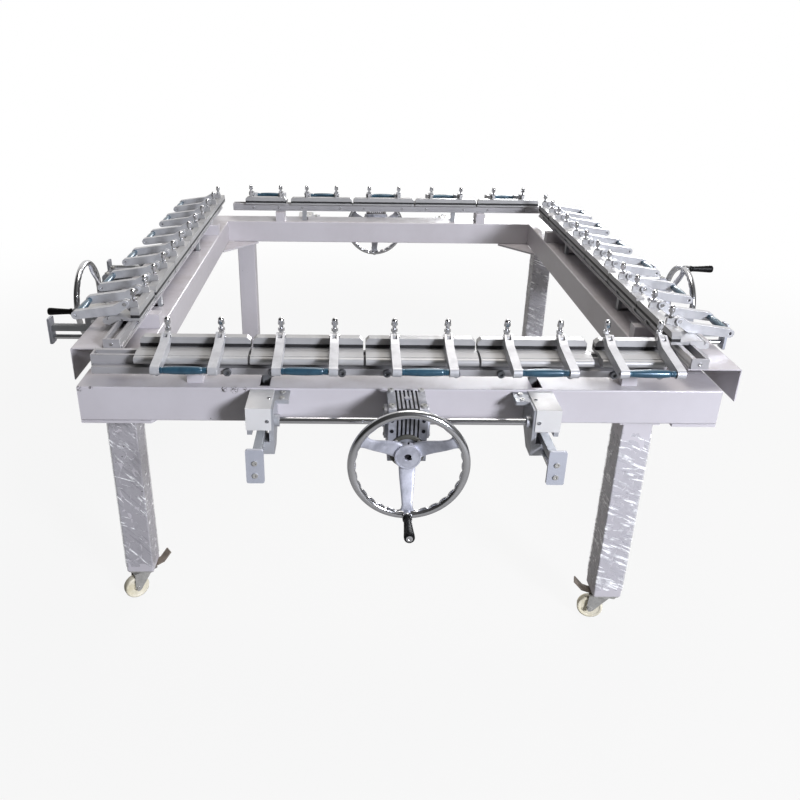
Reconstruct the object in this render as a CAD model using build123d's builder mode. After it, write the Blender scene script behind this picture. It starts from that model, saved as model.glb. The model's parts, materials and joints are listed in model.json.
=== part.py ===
"""Screen stretching machine: a table frame whose four sides each pull a row of fabric clamps outward.

Millimetres, +Z up, origin on the floor under the centre of the frame, front side towards -Y.
Each side is built in the front side's own directions: X runs along the side, -Y points outward
from the beam's outer face, and Z is counted from the beam top. It is then turned into its place.
"""
import os
from dataclasses import dataclass
from functools import cache
from math import cos, pi, radians, sin, tan

from build123d import *

os.makedirs("parts", exist_ok=True)

# Clearances
GAP = 0.3                    # between pieces that move past each other
RUNNING_FIT = 0.05           # radial, on shafts and pins

# Table frame
FRAME_WIDTH = 1650.0         # outside, along X
FRAME_DEPTH = 1990.0         # outside, along Y
BEAM_TOP = 785.0             # above the floor
BEAM_WIDTH = 120.0
BEAM_HEIGHT = 95.0
BEAM_WALL = 4.0
BEAM_CORNER = 4.0
CORNER_PLATE = 8.0
CORNER_PLATE_TAB = 115.0     # along the beam that carries the leg
CORNER_PLATE_SIDE = 180.0    # along the other beam
CORNER_BRACE_LONG = 172.0    # from the inner corner
CORNER_BRACE_SHORT = 138.0
SUPPORT_BAR_WIDTH = 40.0
SUPPORT_BAR_HEIGHT = 43.0
SUPPORT_BAR_INSET = 2.0
SUPPORT_BAR_OUTER = 30.0       # where a bar without a deck ends, from the outer face inward
DECK_SHEET = 3.0
DECK_INNER = 85.0            # from the beam's outer face inward
DECK_OUTER = 55.0            # from the beam's outer face outward
DECK_WALL_DROP = 45.0        # below the beam top
DECK_START_INSET = 35.0
DECK_END_INSET = 145.0

# Legs and castors
LEG_SIZE = 80.0
LEG_WALL = 3.0
LEG_INSET = 20.0             # from the beam's outer face
LEG_PLATE = 8.0
LEG_HEAD_WIDTH = 106.0
CASTOR_HEIGHT = 108.0
CASTOR_WHEEL_DIAMETER = 75.0
CASTOR_WHEEL_WIDTH = 26.0
CASTOR_TRAIL = 30.0
CASTOR_PLATE = 76.0
CASTOR_PLATE_THICKNESS = 5.0
CASTOR_BOLT_SPACING = 56.0
CASTOR_BOLT = 8.0
CASTOR_PIN = 12.0
CASTOR_AXLE = 8.0
CASTOR_SHEET = 2.5
CASTOR_CUP_DIAMETER = 52.0
CASTOR_CUP_HEIGHT = 14.0

# Moving rail
RAIL_WIDTH = 45.0
RAIL_OUTER = 35.0            # outer wall's place, from the beam's outer face inward
RAIL_TOP = 74.0              # above the beam top
RAIL_BASE = 6.0
RAIL_FOOT = 4.0              # base flange beyond the walls
RAIL_BASE_OUTER = 12.0       # where a wide base ends, from the beam's outer face inward
RAIL_LIP = 3.0
RAIL_LIP_DROP = 12.0
RAIL_BOLT_SPREAD = 0.31      # of a jaw's length, either side of its middle
RAIL_BOLT_INSET = 22.0       # upright bolts of a wide base, from the beam's outer face inward
RAIL_BOLT_WIDTH = 13.0
RAIL_INNER_WALL = 12.0
RAIL_OUTER_WALL = 8.0
RAIL_START_INSET = 40.0
RAIL_END_INSET = 148.0
RAIL_END_PLATE = 6.0
RAIL_BOLT_HEAD = 10.0
RAIL_BOLT_HEAD_HEIGHT = 7.0
RAIL_BOLT_LEVEL = 57.6
STROKE = 50.0

# Clamp rows
JAW_LONG = 284.0
JAW_SHORT = 189.0
JAW_GAP = 6.0
JAW_SHORT_GAP = 22.0
JAW_NOSE = 100.0             # from the beam's outer face inward
JAW_TAIL = 5.0               # from the beam's outer face outward
JAW_LIP_TOP = 82.0
JAW_SEAT_TOP = 86.0
JAW_TAIL_BOTTOM = 63.0
JAW_TAIL_RADIUS = 9.8
RUBBER_WIDTH = 25.0
RUBBER_HEIGHT = 9.0
UPPER_BAR_WIDTH = 25.0
UPPER_BAR_HEIGHT = 17.0
UPPER_BAR_CHAMFER = 9.0
YOKE_WIDTH = 9.0
YOKE_RADIUS = 9.5
STUD_PLACE = 82.0            # from the beam's outer face inward
STUD_DIAMETER = 10.0
STUD_NUT = 17.0
STUD_TOP = 162.0
STUD_DOME = 15.0

# Clamp levers
LEVER_SPACING = 137.0
LEVER_WIDTH = 22.0
LEVER_PIVOT = (-58.0, 118.0)  # outward, up
LEVER_HANDLE = (85.0, 84.0)
LEVER_FOOT_PLACE = -28.0
LEVER_PIVOT_RADIUS = 11.0
LEVER_FOOT_RADIUS = 13.0
LEVER_END_RADIUS = 12.0
LEVER_FORK_GAP = 10.0
LEVER_FORK_END = -40.0
LEVER_PIN = 8.0
HANDLE_DIAMETER = 21.0
HANDLE_END_DIAMETER = 15.0
HANDLE_SPIGOT = 9.0
HANDLE_SCREW_RECESS = 6.0

# Drive
DRIVE_CENTRE = 8.0           # along the side
SHAFT_OUT = 87.0             # cross shaft from the drive's mounting face
SHAFT_LEVEL = -47.0
SHAFT_DIAMETER = 17.0
SHAFT_REACH = 385.0
COLLAR_WIDTH = 12.0
COLLAR_DIAMETER = 31.0
WORM_DROP = 50.0             # between the gearbox's two axes
RACK_PLACE = 350.0
TOOTH_MODULE = 1.5
PINION_TEETH = 30
PINION_WIDTH = 22.0
TOOTH_ADDENDUM = 1.2
TOOTH_DEDENDUM = 2.0
TOOTH_THICKNESS = 1.9
RACK_WIDTH = 20.0
RACK_HEIGHT = 20.0
RACK_INNER_END = 79.0        # from the beam's outer face inward
RACK_OUT = 236.0             # from the drive's mounting face
RACK_TOOTH_START = 12.0
RACK_SLOT_CLEARANCE = 3.0
UPRIGHT_THICKNESS = 12.0
GUIDE_ROD = 16.0
GUIDE_LEVEL = -112.0
GUIDE_INNER_END = 5.0
END_PLATE_WIDTH = 42.0
END_PLATE_TOP = -45.0
END_PLATE_HEIGHT = 88.0
END_PLATE_THICKNESS = 8.0
SCREW_HEAD = 13.0
SCREW_HEAD_HEIGHT = 3.0
SCREW_SOCKET = 6.0

BRACKET_BACK = 10.0
BRACKET_HALF_WIDTH = 33.0
BRACKET_CHEEK = 12.0
BRACKET_REACH = 112.0
BRACKET_TOP = -5.0
BRACKET_OUTER_CHEEK_BOTTOM = -75.0
BRACKET_FLANGE_WIDTH = 34.0
BRACKET_FLANGE_LENGTH = 60.0
BRACKET_FLANGE_THICKNESS = 10.0
BRACKET_SCREW_PLACES = (16.0, 47.0)
BOSS_INNER = 62.0
BOSS_HEIGHT = 34.0
BOSS_WALL = 8.0
COVER_WIDTH = 62.0
COVER_SHEET = 2.0
COVER_DROP = 62.0
COVER_SCREW_INSET = 9.0
COVER_SCREW_DROP = 32.0      # below the cover's top
SMALL_SCREW = (9.0, 2.0)     # head's diameter and height

GEARBOX_WIDTH = 94.0
GEARBOX_BACK = 27.0
GEARBOX_DEPTH = 120.0
GEARBOX_TOP = 13.0
GEARBOX_HEIGHT = 144.0
GEARBOX_CORNER = 12.0
GEARBOX_WALL = 8.0
GEARBOX_SLOT_PITCH = 10.0
GEARBOX_SLOT = 4.5
GEARBOX_SLOTS = 6
GEARBOX_SLOT_DEPTH = 5.0
GEARBOX_SLOT_BOTTOM = -64.0    # where the front slots end, above the worm's flange
GEARBOX_FLANGE = 84.0
GEARBOX_FLANGE_THICKNESS = 8.0
GEARBOX_PLUG = 16.0
WORM_DIAMETER = 25.0
WORM_LENGTH = 60.0
WORM_SHAFT = 19.0
WORM_WHEEL_WIDTH = 20.0
GEARBOX_MOUNT_WIDTH = 70.0

# Handwheel
WHEEL_DIAMETER = 290.0
WHEEL_RIM = 21.0
WHEEL_PLANE = 220.0          # rim's plane, from the drive's mounting face
WHEEL_HUB_DIAMETER = 60.0
WHEEL_HUB_BACK = 148.0
WHEEL_HUB_LENGTH = 35.0
WHEEL_SPOKES = 3
GRIP_BOSS = 24.0
GRIP_AXLE = 10.0
GRIP_START = 240.0
GRIP_END = 325.0
GRIP_DIAMETER = 26.0


@dataclass(frozen=True)
class Side:
    """One side of the machine, with what differs from side to side."""

    name: str
    turn: float              # about Z, from the front side
    length: float            # of this side, between the frame's outer faces
    reach: float             # from the frame's centre to this side's outer face
    decked: bool             # carries a folded deck, with the drive on its hanging wall
    row_start: float         # first jaw, from the rail's start
    long_jaws: int
    support_bars: tuple      # places along the side
    leg_inset: float         # leg's outer edge, from the side's end
    grip_angle: float        # where the crank grip stands at rest
    castor_turn: float       # the way the castor trails at rest
    pedal_turn: float        # brake pedal, about the castor's swivel axis

    @property
    def place(self):
        """From the side's own directions to the machine's."""
        return Location((0, 0, 0), (0, 0, self.turn)) * Location((0, -self.reach, BEAM_TOP))

    @property
    def drive_out(self):
        """The drive's mounting face, outward from the beam's outer face."""
        return DECK_OUTER if self.decked else 0.0

    @property
    def rail_bottom(self):
        return SUPPORT_BAR_HEIGHT + (DECK_SHEET if self.decked else 0.0) + GAP

    @property
    def rail_start(self):
        return -self.length / 2 + RAIL_START_INSET

    @property
    def rail_end(self):
        return self.length / 2 - RAIL_END_INSET

    @property
    def leg_centre(self):
        return self.length / 2 - self.leg_inset - LEG_SIZE / 2

    @property
    def jaws(self):
        """Centre and length of each jaw in the row."""
        start = self.rail_start + self.row_start
        places = []
        for _ in range(self.long_jaws):
            places.append((start + JAW_LONG / 2, JAW_LONG))
            start += JAW_LONG + JAW_GAP
        start += JAW_SHORT_GAP - JAW_GAP
        places.append((start + JAW_SHORT / 2, JAW_SHORT))
        return places


SIDES = [
    Side("front", 0, FRAME_WIDTH, FRAME_DEPTH / 2, False, 113, 4, (-530, 592), 155, -90, 165, 0),
    Side("right", 90, FRAME_DEPTH, FRAME_WIDTH / 2, True, 94, 5, (-620, 545), 130, 90, 250, 180),
    Side("rear", 180, FRAME_WIDTH, FRAME_DEPTH / 2, False, 42, 4, (-475, 462), 155, -90, 30, 180),
    Side("left", 270, FRAME_DEPTH, FRAME_WIDTH / 2, True, 9, 5, (-620, 545), 130, 0, 215, 180),
]

PINION_RADIUS = TOOTH_MODULE * PINION_TEETH / 2
TOOTH_PITCH = pi * TOOTH_MODULE
RACK_PITCH_LINE = SHAFT_LEVEL - PINION_RADIUS
RACK_BOTTOM = RACK_PITCH_LINE - RACK_HEIGHT
WORM_LEVEL = SHAFT_LEVEL - WORM_DROP
FLANK = tan(radians(20))


def across(place):
    """A section plane square to the side: local X points outward, local Y points up."""
    return Plane(origin=(place, 0, 0), x_dir=(0, -1, 0), z_dir=(-1, 0, 0))


def outward(distance):
    """A plane parallel to the side's outer face, at a distance outward, facing outward."""
    return Plane(origin=(0, -distance, 0), x_dir=(1, 0, 0), z_dir=(0, -1, 0))


def level(height):
    """A level plane at a height above the beam top."""
    return Plane.XY.offset(height)


def group(*pieces):
    """Separate solids kept side by side in one node."""
    return Compound([solid for piece in pieces for solid in piece.solids()])


def write(node, label):
    node.label = label
    export_step(node, f"parts/{label}.step")


def socket_screw(plane, places, diameter=SCREW_HEAD, height=SCREW_HEAD_HEIGHT):
    """Socket head screws standing on a plane."""
    with BuildPart() as screws:
        with BuildSketch(plane):
            with Locations(*places):
                Circle(diameter / 2)
        extrude(amount=height)
        with BuildSketch(plane.offset(height)):
            with Locations(*places):
                RegularPolygon(SCREW_SOCKET / 2, 6)
        extrude(amount=-height * 0.7, mode=Mode.SUBTRACT)
    return screws.part


# Table frame


def beam(length, side):
    """Closed box beam with the slots and web holes of the two racks."""
    with BuildPart() as tube:
        with BuildSketch(across(0)):
            with Locations((-BEAM_WIDTH / 2, -BEAM_HEIGHT / 2)):
                RectangleRounded(BEAM_WIDTH, BEAM_HEIGHT, BEAM_CORNER)
        extrude(amount=length / 2, both=True)
        with BuildSketch(across(0)):
            with Locations((-BEAM_WIDTH / 2, -BEAM_HEIGHT / 2)):
                Rectangle(BEAM_WIDTH - 2 * BEAM_WALL, BEAM_HEIGHT - 2 * BEAM_WALL)
        extrude(amount=length / 2 - BEAM_WALL, both=True, mode=Mode.SUBTRACT)
        extrude(upright_slots(level(0)), amount=-BEAM_WALL, mode=Mode.SUBTRACT)
        hole_height = RACK_HEIGHT + TOOTH_ADDENDUM + 2 * RACK_SLOT_CLEARANCE
        hole_level = RACK_BOTTOM + (RACK_HEIGHT + TOOTH_ADDENDUM) / 2
        with BuildSketch(outward(0)):
            with Locations((-RACK_PLACE, hole_level), (RACK_PLACE, hole_level)):
                Rectangle(RACK_WIDTH + 2 * RACK_SLOT_CLEARANCE, hole_height)
        extrude(amount=-BEAM_WALL, mode=Mode.SUBTRACT)
    return side.place * tube.part


def upright_slots(plane):
    """Outline of the slots that the racks' uprights travel in."""
    slot_inner = RACK_INNER_END + RACK_SLOT_CLEARANCE
    slot_outer = RACK_INNER_END - UPRIGHT_THICKNESS - STROKE - RACK_SLOT_CLEARANCE
    with BuildSketch(plane) as slots:
        with Locations(*[(u, (slot_inner + slot_outer) / 2) for u in (-RACK_PLACE, RACK_PLACE)]):
            Rectangle(RACK_WIDTH + 2 * RACK_SLOT_CLEARANCE, slot_inner - slot_outer)
    return slots.sketch


def support_bars(side):
    """Square bars welded across the beam, under the rail or the deck."""
    outer = DECK_OUTER - DECK_SHEET if side.decked else -SUPPORT_BAR_OUTER
    inner = BEAM_WIDTH - SUPPORT_BAR_INSET
    with BuildPart() as bars:
        with BuildSketch(level(0)):
            with Locations(*[(u, (inner - outer) / 2) for u in side.support_bars]):
                Rectangle(SUPPORT_BAR_WIDTH, inner + outer)
        extrude(amount=SUPPORT_BAR_HEIGHT)
    return side.place * bars.part


def corner_plate(side):
    """Plate welded under the corner at the side's far end, cut back for the leg."""
    end = side.length / 2
    inner = BEAM_WIDTH
    along_is_short = not side.decked
    along = CORNER_BRACE_SHORT if along_is_short else CORNER_BRACE_LONG
    other = CORNER_BRACE_LONG if along_is_short else CORNER_BRACE_SHORT
    with BuildPart() as plate:
        with BuildSketch(level(-BEAM_HEIGHT)):
            with BuildLine():
                Polyline(
                    (end, 0),
                    (end - CORNER_PLATE_TAB, 0),
                    (end - CORNER_PLATE_TAB, inner),
                    (end - inner - along, inner),
                    (end - inner, inner + other),
                    (end, CORNER_PLATE_SIDE),
                    close=True,
                )
            make_face()
        extrude(amount=-CORNER_PLATE)
    return side.place * plate.part


def leg(side):
    """Square tube leg with its head plate, foot plate and castor plate."""
    head = BEAM_TOP - BEAM_HEIGHT
    centre = (side.leg_centre, LEG_INSET + LEG_SIZE / 2)
    foot = CASTOR_HEIGHT
    with BuildPart() as tube:
        with BuildSketch(Plane.XY.offset(foot)):
            with Locations(centre):
                RectangleRounded(LEG_SIZE, LEG_SIZE, BEAM_CORNER)
        extrude(amount=head - LEG_PLATE - foot)
        with BuildSketch(Plane.XY.offset(foot + LEG_PLATE)):
            with Locations(centre):
                Rectangle(LEG_SIZE - 2 * LEG_WALL, LEG_SIZE - 2 * LEG_WALL)
        extrude(amount=head - 2 * LEG_PLATE - foot, mode=Mode.SUBTRACT)
        with BuildSketch(Plane.XY.offset(head - LEG_PLATE)):
            with Locations(centre):
                Rectangle(LEG_HEAD_WIDTH, LEG_SIZE + LEG_INSET)
        extrude(amount=LEG_PLATE)
        with BuildSketch(Plane.XY.offset(foot)):
            with Locations(centre):
                with GridLocations(CASTOR_BOLT_SPACING, CASTOR_BOLT_SPACING, 2, 2):
                    Circle(CASTOR_BOLT / 2)
        extrude(amount=LEG_PLATE, mode=Mode.SUBTRACT)
    plate_bottom = foot - CASTOR_PLATE_THICKNESS
    with BuildPart() as plate:
        with BuildSketch(Plane.XY.offset(plate_bottom)):
            with Locations(centre):
                RectangleRounded(CASTOR_PLATE, CASTOR_PLATE, 6)
                with GridLocations(CASTOR_BOLT_SPACING, CASTOR_BOLT_SPACING, 2, 2):
                    Circle(CASTOR_BOLT / 2, mode=Mode.SUBTRACT)
        extrude(amount=CASTOR_PLATE_THICKNESS)
        with BuildSketch(Plane.XY.offset(plate_bottom)):
            with Locations(centre):
                Circle(CASTOR_PIN / 2)
        extrude(amount=-CASTOR_CUP_HEIGHT)
    with BuildPart() as bolts:
        with Locations((centre[0], centre[1], plate_bottom)):
            with GridLocations(CASTOR_BOLT_SPACING, CASTOR_BOLT_SPACING, 2, 2):
                Cylinder(
                    CASTOR_BOLT / 2,
                    CASTOR_PLATE_THICKNESS + LEG_PLATE,
                    align=(Align.CENTER, Align.CENTER, Align.MIN),
                )
                Cylinder(
                    CASTOR_BOLT * 0.8,
                    CASTOR_BOLT / 2,
                    align=(Align.CENTER, Align.CENTER, Align.MAX),
                )
    on_floor = side.place * Location((0, 0, -BEAM_TOP))
    return [on_floor * piece for piece in (tube.part, plate.part, bolts.part)]


def deck(side):
    """Folded sheet over the beam, with a hanging outer wall that carries the drive."""
    start = -side.length / 2 + DECK_START_INSET
    end = side.length / 2 - DECK_END_INSET
    with BuildPart() as sheet:
        with BuildSketch(across((start + end) / 2)):
            with BuildLine():
                Polyline(
                    (-DECK_INNER, SUPPORT_BAR_HEIGHT),
                    (DECK_OUTER - DECK_SHEET, SUPPORT_BAR_HEIGHT),
                    (DECK_OUTER - DECK_SHEET, -DECK_WALL_DROP),
                    (DECK_OUTER, -DECK_WALL_DROP),
                    (DECK_OUTER, SUPPORT_BAR_HEIGHT + DECK_SHEET),
                    (-DECK_INNER, SUPPORT_BAR_HEIGHT + DECK_SHEET),
                    close=True,
                )
            make_face()
        extrude(amount=(end - start) / 2, both=True)
        fold = sheet.edges().filter_by(Axis.X).sort_by(Axis.Z)[-2:].sort_by(Axis.Y)[0]
        fillet(fold, DECK_SHEET * 0.9)
        slots = upright_slots(level(SUPPORT_BAR_HEIGHT + DECK_SHEET))
        extrude(slots, amount=-DECK_SHEET, mode=Mode.SUBTRACT)
    return side.place * sheet.part


# Moving rail and jaws


def rail(side):
    """Channel that carries the jaws, with an end plate at each end."""
    inner = -RAIL_OUTER - RAIL_WIDTH
    bottom = side.rail_bottom
    centre = (side.rail_start + side.rail_end) / 2
    length = side.rail_end - side.rail_start
    if side.decked:
        foot = [(-RAIL_OUTER + RAIL_FOOT, bottom), (-RAIL_OUTER + RAIL_FOOT, bottom + RAIL_BASE)]
    else:
        foot = [
            (-RAIL_BASE_OUTER - RAIL_LIP, bottom),
            (-RAIL_BASE_OUTER - RAIL_LIP, bottom - RAIL_LIP_DROP),
            (-RAIL_BASE_OUTER, bottom - RAIL_LIP_DROP),
            (-RAIL_BASE_OUTER, bottom + RAIL_BASE),
        ]
    with BuildPart() as channel:
        with BuildSketch(across(centre)):
            with BuildLine():
                Polyline(
                    (inner - RAIL_FOOT, bottom),
                    *foot,
                    (-RAIL_OUTER, bottom + RAIL_BASE),
                    (-RAIL_OUTER, RAIL_TOP),
                    (-RAIL_OUTER - RAIL_OUTER_WALL, RAIL_TOP),
                    (-RAIL_OUTER - RAIL_OUTER_WALL, bottom + RAIL_BASE),
                    (inner + RAIL_INNER_WALL, bottom + RAIL_BASE),
                    (inner + RAIL_INNER_WALL, RAIL_TOP),
                    (inner, RAIL_TOP),
                    (inner, bottom + RAIL_BASE),
                    (inner - RAIL_FOOT, bottom + RAIL_BASE),
                    close=True,
                )
            make_face()
        extrude(amount=length / 2, both=True)
    plate_centre = (-RAIL_OUTER - RAIL_WIDTH / 2, (bottom + RAIL_TOP) / 2)
    with BuildPart() as end_plates:
        for end, way in ((side.rail_start, 1), (side.rail_end, -1)):
            with BuildSketch(across(end)):
                with Locations(plate_centre):
                    Rectangle(RAIL_WIDTH, RAIL_TOP - bottom)
            extrude(amount=way * RAIL_END_PLATE)
    screws = []
    for end, way in ((side.rail_start - RAIL_END_PLATE, -1), (side.rail_end + RAIL_END_PLATE, 1)):
        face = Plane(origin=(end, 0, 0), x_dir=(0, -1, 0), z_dir=(way, 0, 0))
        x_sign = -1 if face.y_dir.Z < 0 else 1
        place = (plate_centre[0], x_sign * plate_centre[1])
        screws.append(socket_screw(face, [place], RAIL_BOLT_HEAD))
    bolt_places = []
    for jaw_centre, jaw_length in side.jaws:
        for offset in (-jaw_length * RAIL_BOLT_SPREAD, jaw_length * RAIL_BOLT_SPREAD):
            bolt_places.append(jaw_centre + offset)
    if side.decked:
        outer_face = outward(-RAIL_OUTER)
        outer_places = [(u, RAIL_BOLT_LEVEL) for u in bolt_places]
        outer_bolts = socket_screw(outer_face, outer_places, RAIL_BOLT_HEAD, RAIL_BOLT_HEAD_HEIGHT)
    else:
        base_top = level(bottom + RAIL_BASE)
        upright_places = [(u, RAIL_BOLT_INSET) for u in bolt_places]
        outer_bolts = socket_screw(base_top, upright_places, RAIL_BOLT_WIDTH, RAIL_BOLT_HEAD_HEIGHT)
    inner_face = Plane(origin=(0, -inner, 0), x_dir=(1, 0, 0), z_dir=(0, 1, 0))
    inner_places = [(u, -RAIL_BOLT_LEVEL) for u in bolt_places]
    inner_bolts = socket_screw(inner_face, inner_places, RAIL_BOLT_HEAD, RAIL_BOLT_HEAD_HEIGHT)
    bolts = [outer_bolts, inner_bolts]
    return side.place * group(channel.part, end_plates.part, *screws, *bolts)


@cache
def lower_jaw(length):
    """Extruded jaw: a lip under the rubber, a seat for the lever's foot and a rounded tail."""
    tail_centre_out = JAW_TAIL - JAW_TAIL_RADIUS
    tail_top = JAW_TAIL_BOTTOM + 2 * JAW_TAIL_RADIUS
    seat_inner = LEVER_FOOT_PLACE - 14
    seat_outer = LEVER_FOOT_PLACE - 2
    with BuildPart() as jaw:
        with BuildSketch(across(0)):
            with BuildLine():
                bottom = Polyline(
                    (-JAW_NOSE, JAW_LIP_TOP),
                    (-JAW_NOSE, RAIL_TOP + 2),
                    (-JAW_NOSE + 2, RAIL_TOP),
                    (-RAIL_OUTER + 1, RAIL_TOP),
                    (-RAIL_OUTER + 1, JAW_TAIL_BOTTOM + 3),
                    (-RAIL_OUTER + 4, JAW_TAIL_BOTTOM),
                    (tail_centre_out, JAW_TAIL_BOTTOM),
                )
                RadiusArc(bottom @ 1, (tail_centre_out, tail_top), -JAW_TAIL_RADIUS)
                Polyline(
                    (tail_centre_out, tail_top),
                    (seat_outer, JAW_SEAT_TOP),
                    (seat_inner, JAW_SEAT_TOP),
                    (-JAW_NOSE + RUBBER_WIDTH + 4, JAW_LIP_TOP),
                    (-JAW_NOSE, JAW_LIP_TOP),
                )
            make_face()
            with Locations((-RAIL_OUTER - 14, RAIL_TOP)):
                Rectangle(4, 10, mode=Mode.SUBTRACT)
            with Locations((tail_centre_out - 4, tail_top)):
                Rectangle(2.5, 14, mode=Mode.SUBTRACT)
            for groove in range(3):
                with Locations((-JAW_NOSE + 6 + 6 * groove, RAIL_TOP)):
                    Circle(1.2, mode=Mode.SUBTRACT)
        extrude(amount=length / 2, both=True)
    return jaw.part


@cache
def rubber_strip(length):
    """Rubber on the lower lip."""
    with BuildPart() as strip:
        with BuildSketch(across(0)):
            with Locations((-JAW_NOSE + RUBBER_WIDTH / 2, JAW_LIP_TOP + RUBBER_HEIGHT / 2)):
                Rectangle(RUBBER_WIDTH, RUBBER_HEIGHT)
        extrude(amount=length / 2, both=True)
    return strip.part


@cache
def upper_jaw(length):
    """Upper bar with a yoke for each lever."""
    bottom = JAW_LIP_TOP + RUBBER_HEIGHT
    top = bottom + UPPER_BAR_HEIGHT
    bar_outer = -JAW_NOSE + UPPER_BAR_WIDTH
    pivot_out, pivot_up = LEVER_PIVOT
    with BuildPart() as jaw:
        with BuildSketch(outward(-JAW_NOSE)) as bar_face:
            with Locations((0, (bottom + top) / 2)):
                Rectangle(length, UPPER_BAR_HEIGHT)
            chamfer(bar_face.vertices().group_by(Axis.Y)[-1], UPPER_BAR_CHAMFER)
        extrude(amount=UPPER_BAR_WIDTH)
        for place in (-LEVER_SPACING / 2, LEVER_SPACING / 2):
            with BuildSketch(across(place)):
                with BuildLine():
                    Polyline(
                        (-JAW_NOSE + 6, top - 6),
                        (bar_outer, bottom + 2),
                        (bar_outer + 4, bottom + 2),
                        (pivot_out + YOKE_RADIUS * 0.8, pivot_up - YOKE_RADIUS * 0.6),
                        (pivot_out, pivot_up + YOKE_RADIUS),
                        (-JAW_NOSE + 8, pivot_up + YOKE_RADIUS - 2),
                        close=True,
                    )
                make_face()
                with Locations(LEVER_PIVOT):
                    Circle(YOKE_RADIUS)
                    Circle(LEVER_PIN / 2 + RUNNING_FIT, mode=Mode.SUBTRACT)
            extrude(amount=YOKE_WIDTH / 2, both=True)
    return jaw.part


@cache
def stud(place):
    """Threaded stud on the yoke, with two nuts and a domed cap."""
    base = LEVER_PIVOT[1] + YOKE_RADIUS - 2
    dome_centre = STUD_TOP - STUD_DOME / 2
    with BuildPart() as bolt:
        with BuildSketch(level(base)):
            with Locations((place, STUD_PLACE)):
                RegularPolygon(STUD_NUT / 2, 6)
        extrude(amount=8)
        with BuildSketch(level(base)):
            with Locations((place, STUD_PLACE)):
                Circle(STUD_DIAMETER / 2)
        extrude(amount=dome_centre - base)
        with BuildSketch(level(dome_centre - 12)):
            with Locations((place, STUD_PLACE)):
                RegularPolygon(STUD_NUT / 2, 6)
        extrude(amount=7)
        with BuildSketch(level(dome_centre - 5)):
            with Locations((place, STUD_PLACE)):
                Circle(STUD_DOME / 2)
        extrude(amount=5)
        with Locations((place, STUD_PLACE, dome_centre)):
            Sphere(STUD_DOME / 2, arc_size1=0, align=(Align.CENTER, Align.CENTER, Align.MIN))
    return bolt.part


def jaw_row(side):
    """Every jaw of one row: lower jaws, rubber, upper jaws and studs."""
    pieces = []
    for centre, length in side.jaws:
        studs = [stud(place) for place in (-LEVER_SPACING / 2, LEVER_SPACING / 2)]
        jaw = group(lower_jaw(length), rubber_strip(length), upper_jaw(length), *studs)
        pieces.append(Location((centre, 0, 0)) * jaw)
    return side.place * group(*pieces)


@cache
def lever(place):
    """Forked lever arm from the pivot, over its foot, to the handle."""
    foot = (LEVER_FOOT_PLACE, JAW_SEAT_TOP + GAP + LEVER_FOOT_RADIUS)
    with BuildPart() as arm:
        with BuildSketch(across(place)) as profile:
            with Locations(LEVER_PIVOT):
                Circle(LEVER_PIVOT_RADIUS)
            with Locations(foot):
                Circle(LEVER_FOOT_RADIUS)
            make_hull()
        extrude(amount=LEVER_WIDTH / 2, both=True)
        with BuildSketch(across(place)):
            with Locations(foot):
                Circle(LEVER_FOOT_RADIUS)
            with Locations(LEVER_HANDLE):
                Circle(LEVER_END_RADIUS)
            make_hull()
        extrude(amount=LEVER_WIDTH / 2, both=True)
        fork_start = LEVER_PIVOT[0] - 2 * LEVER_PIVOT_RADIUS
        fork_height = 6 * LEVER_PIVOT_RADIUS
        with BuildSketch(across(place)):
            with Locations(((fork_start + LEVER_FORK_END) / 2, LEVER_PIVOT[1])):
                Rectangle(LEVER_FORK_END - fork_start, fork_height)
        extrude(amount=LEVER_FORK_GAP / 2, both=True, mode=Mode.SUBTRACT)
        with BuildSketch(across(place)):
            with Locations(LEVER_PIVOT):
                Circle(LEVER_PIN / 2)
            with Locations(LEVER_HANDLE):
                Circle(HANDLE_SPIGOT / 2)
        extrude(amount=LEVER_WIDTH / 2, both=True, mode=Mode.SUBTRACT)
    return arm.part


@cache
def pivot_pin(place):
    """Pin through the fork and the yoke, with a small head at each end."""
    with BuildPart() as pin:
        with BuildSketch(across(place)):
            with Locations(LEVER_PIVOT):
                Circle(LEVER_PIN / 2)
        extrude(amount=LEVER_WIDTH / 2 + 2, both=True)
        for way in (-1, 1):
            with BuildSketch(across(place - way * LEVER_WIDTH / 2)):
                with Locations(LEVER_PIVOT):
                    Circle(LEVER_PIN * 0.7)
            extrude(amount=way * 2)
    return pin.part


@cache
def handle():
    """Turned handle between the lever arms, with a spigot in each arm."""
    half = (LEVER_SPACING - LEVER_WIDTH) / 2
    end_radius = HANDLE_END_DIAMETER / 2
    spigot_end = half + LEVER_WIDTH - HANDLE_SCREW_RECESS
    with BuildPart() as grip:
        with BuildSketch(Plane.XY):
            with BuildLine():
                right = Polyline(
                    (0, 0),
                    (spigot_end, 0),
                    (spigot_end, HANDLE_SPIGOT / 2),
                    (half, HANDLE_SPIGOT / 2),
                    (half, end_radius + 1),
                    (half - 9, end_radius + 1),
                    (half - 10, end_radius),
                    (half - 12, end_radius),
                )
                Spline(
                    right @ 1,
                    (half * 0.45, HANDLE_DIAMETER / 2 - 0.6),
                    (0, HANDLE_DIAMETER / 2),
                    tangents=((-1, 0.25), (-1, 0)),
                )
                Line((0, HANDLE_DIAMETER / 2), (0, 0))
            make_face()
        revolve(axis=Axis.X)
        mirror(about=Plane.YZ)
    out, up = LEVER_HANDLE
    return Location((0, -out, up)) * grip.part


def lever_set(side, centre):
    """Two levers, their pins and the handle of one clamp."""
    places = (-LEVER_SPACING / 2, LEVER_SPACING / 2)
    levers = [lever(place) for place in places]
    pins = [pivot_pin(place) for place in places]
    return side.place * Location((centre, 0, 0)) * group(*levers, *pins, handle())


# Drive


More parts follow.
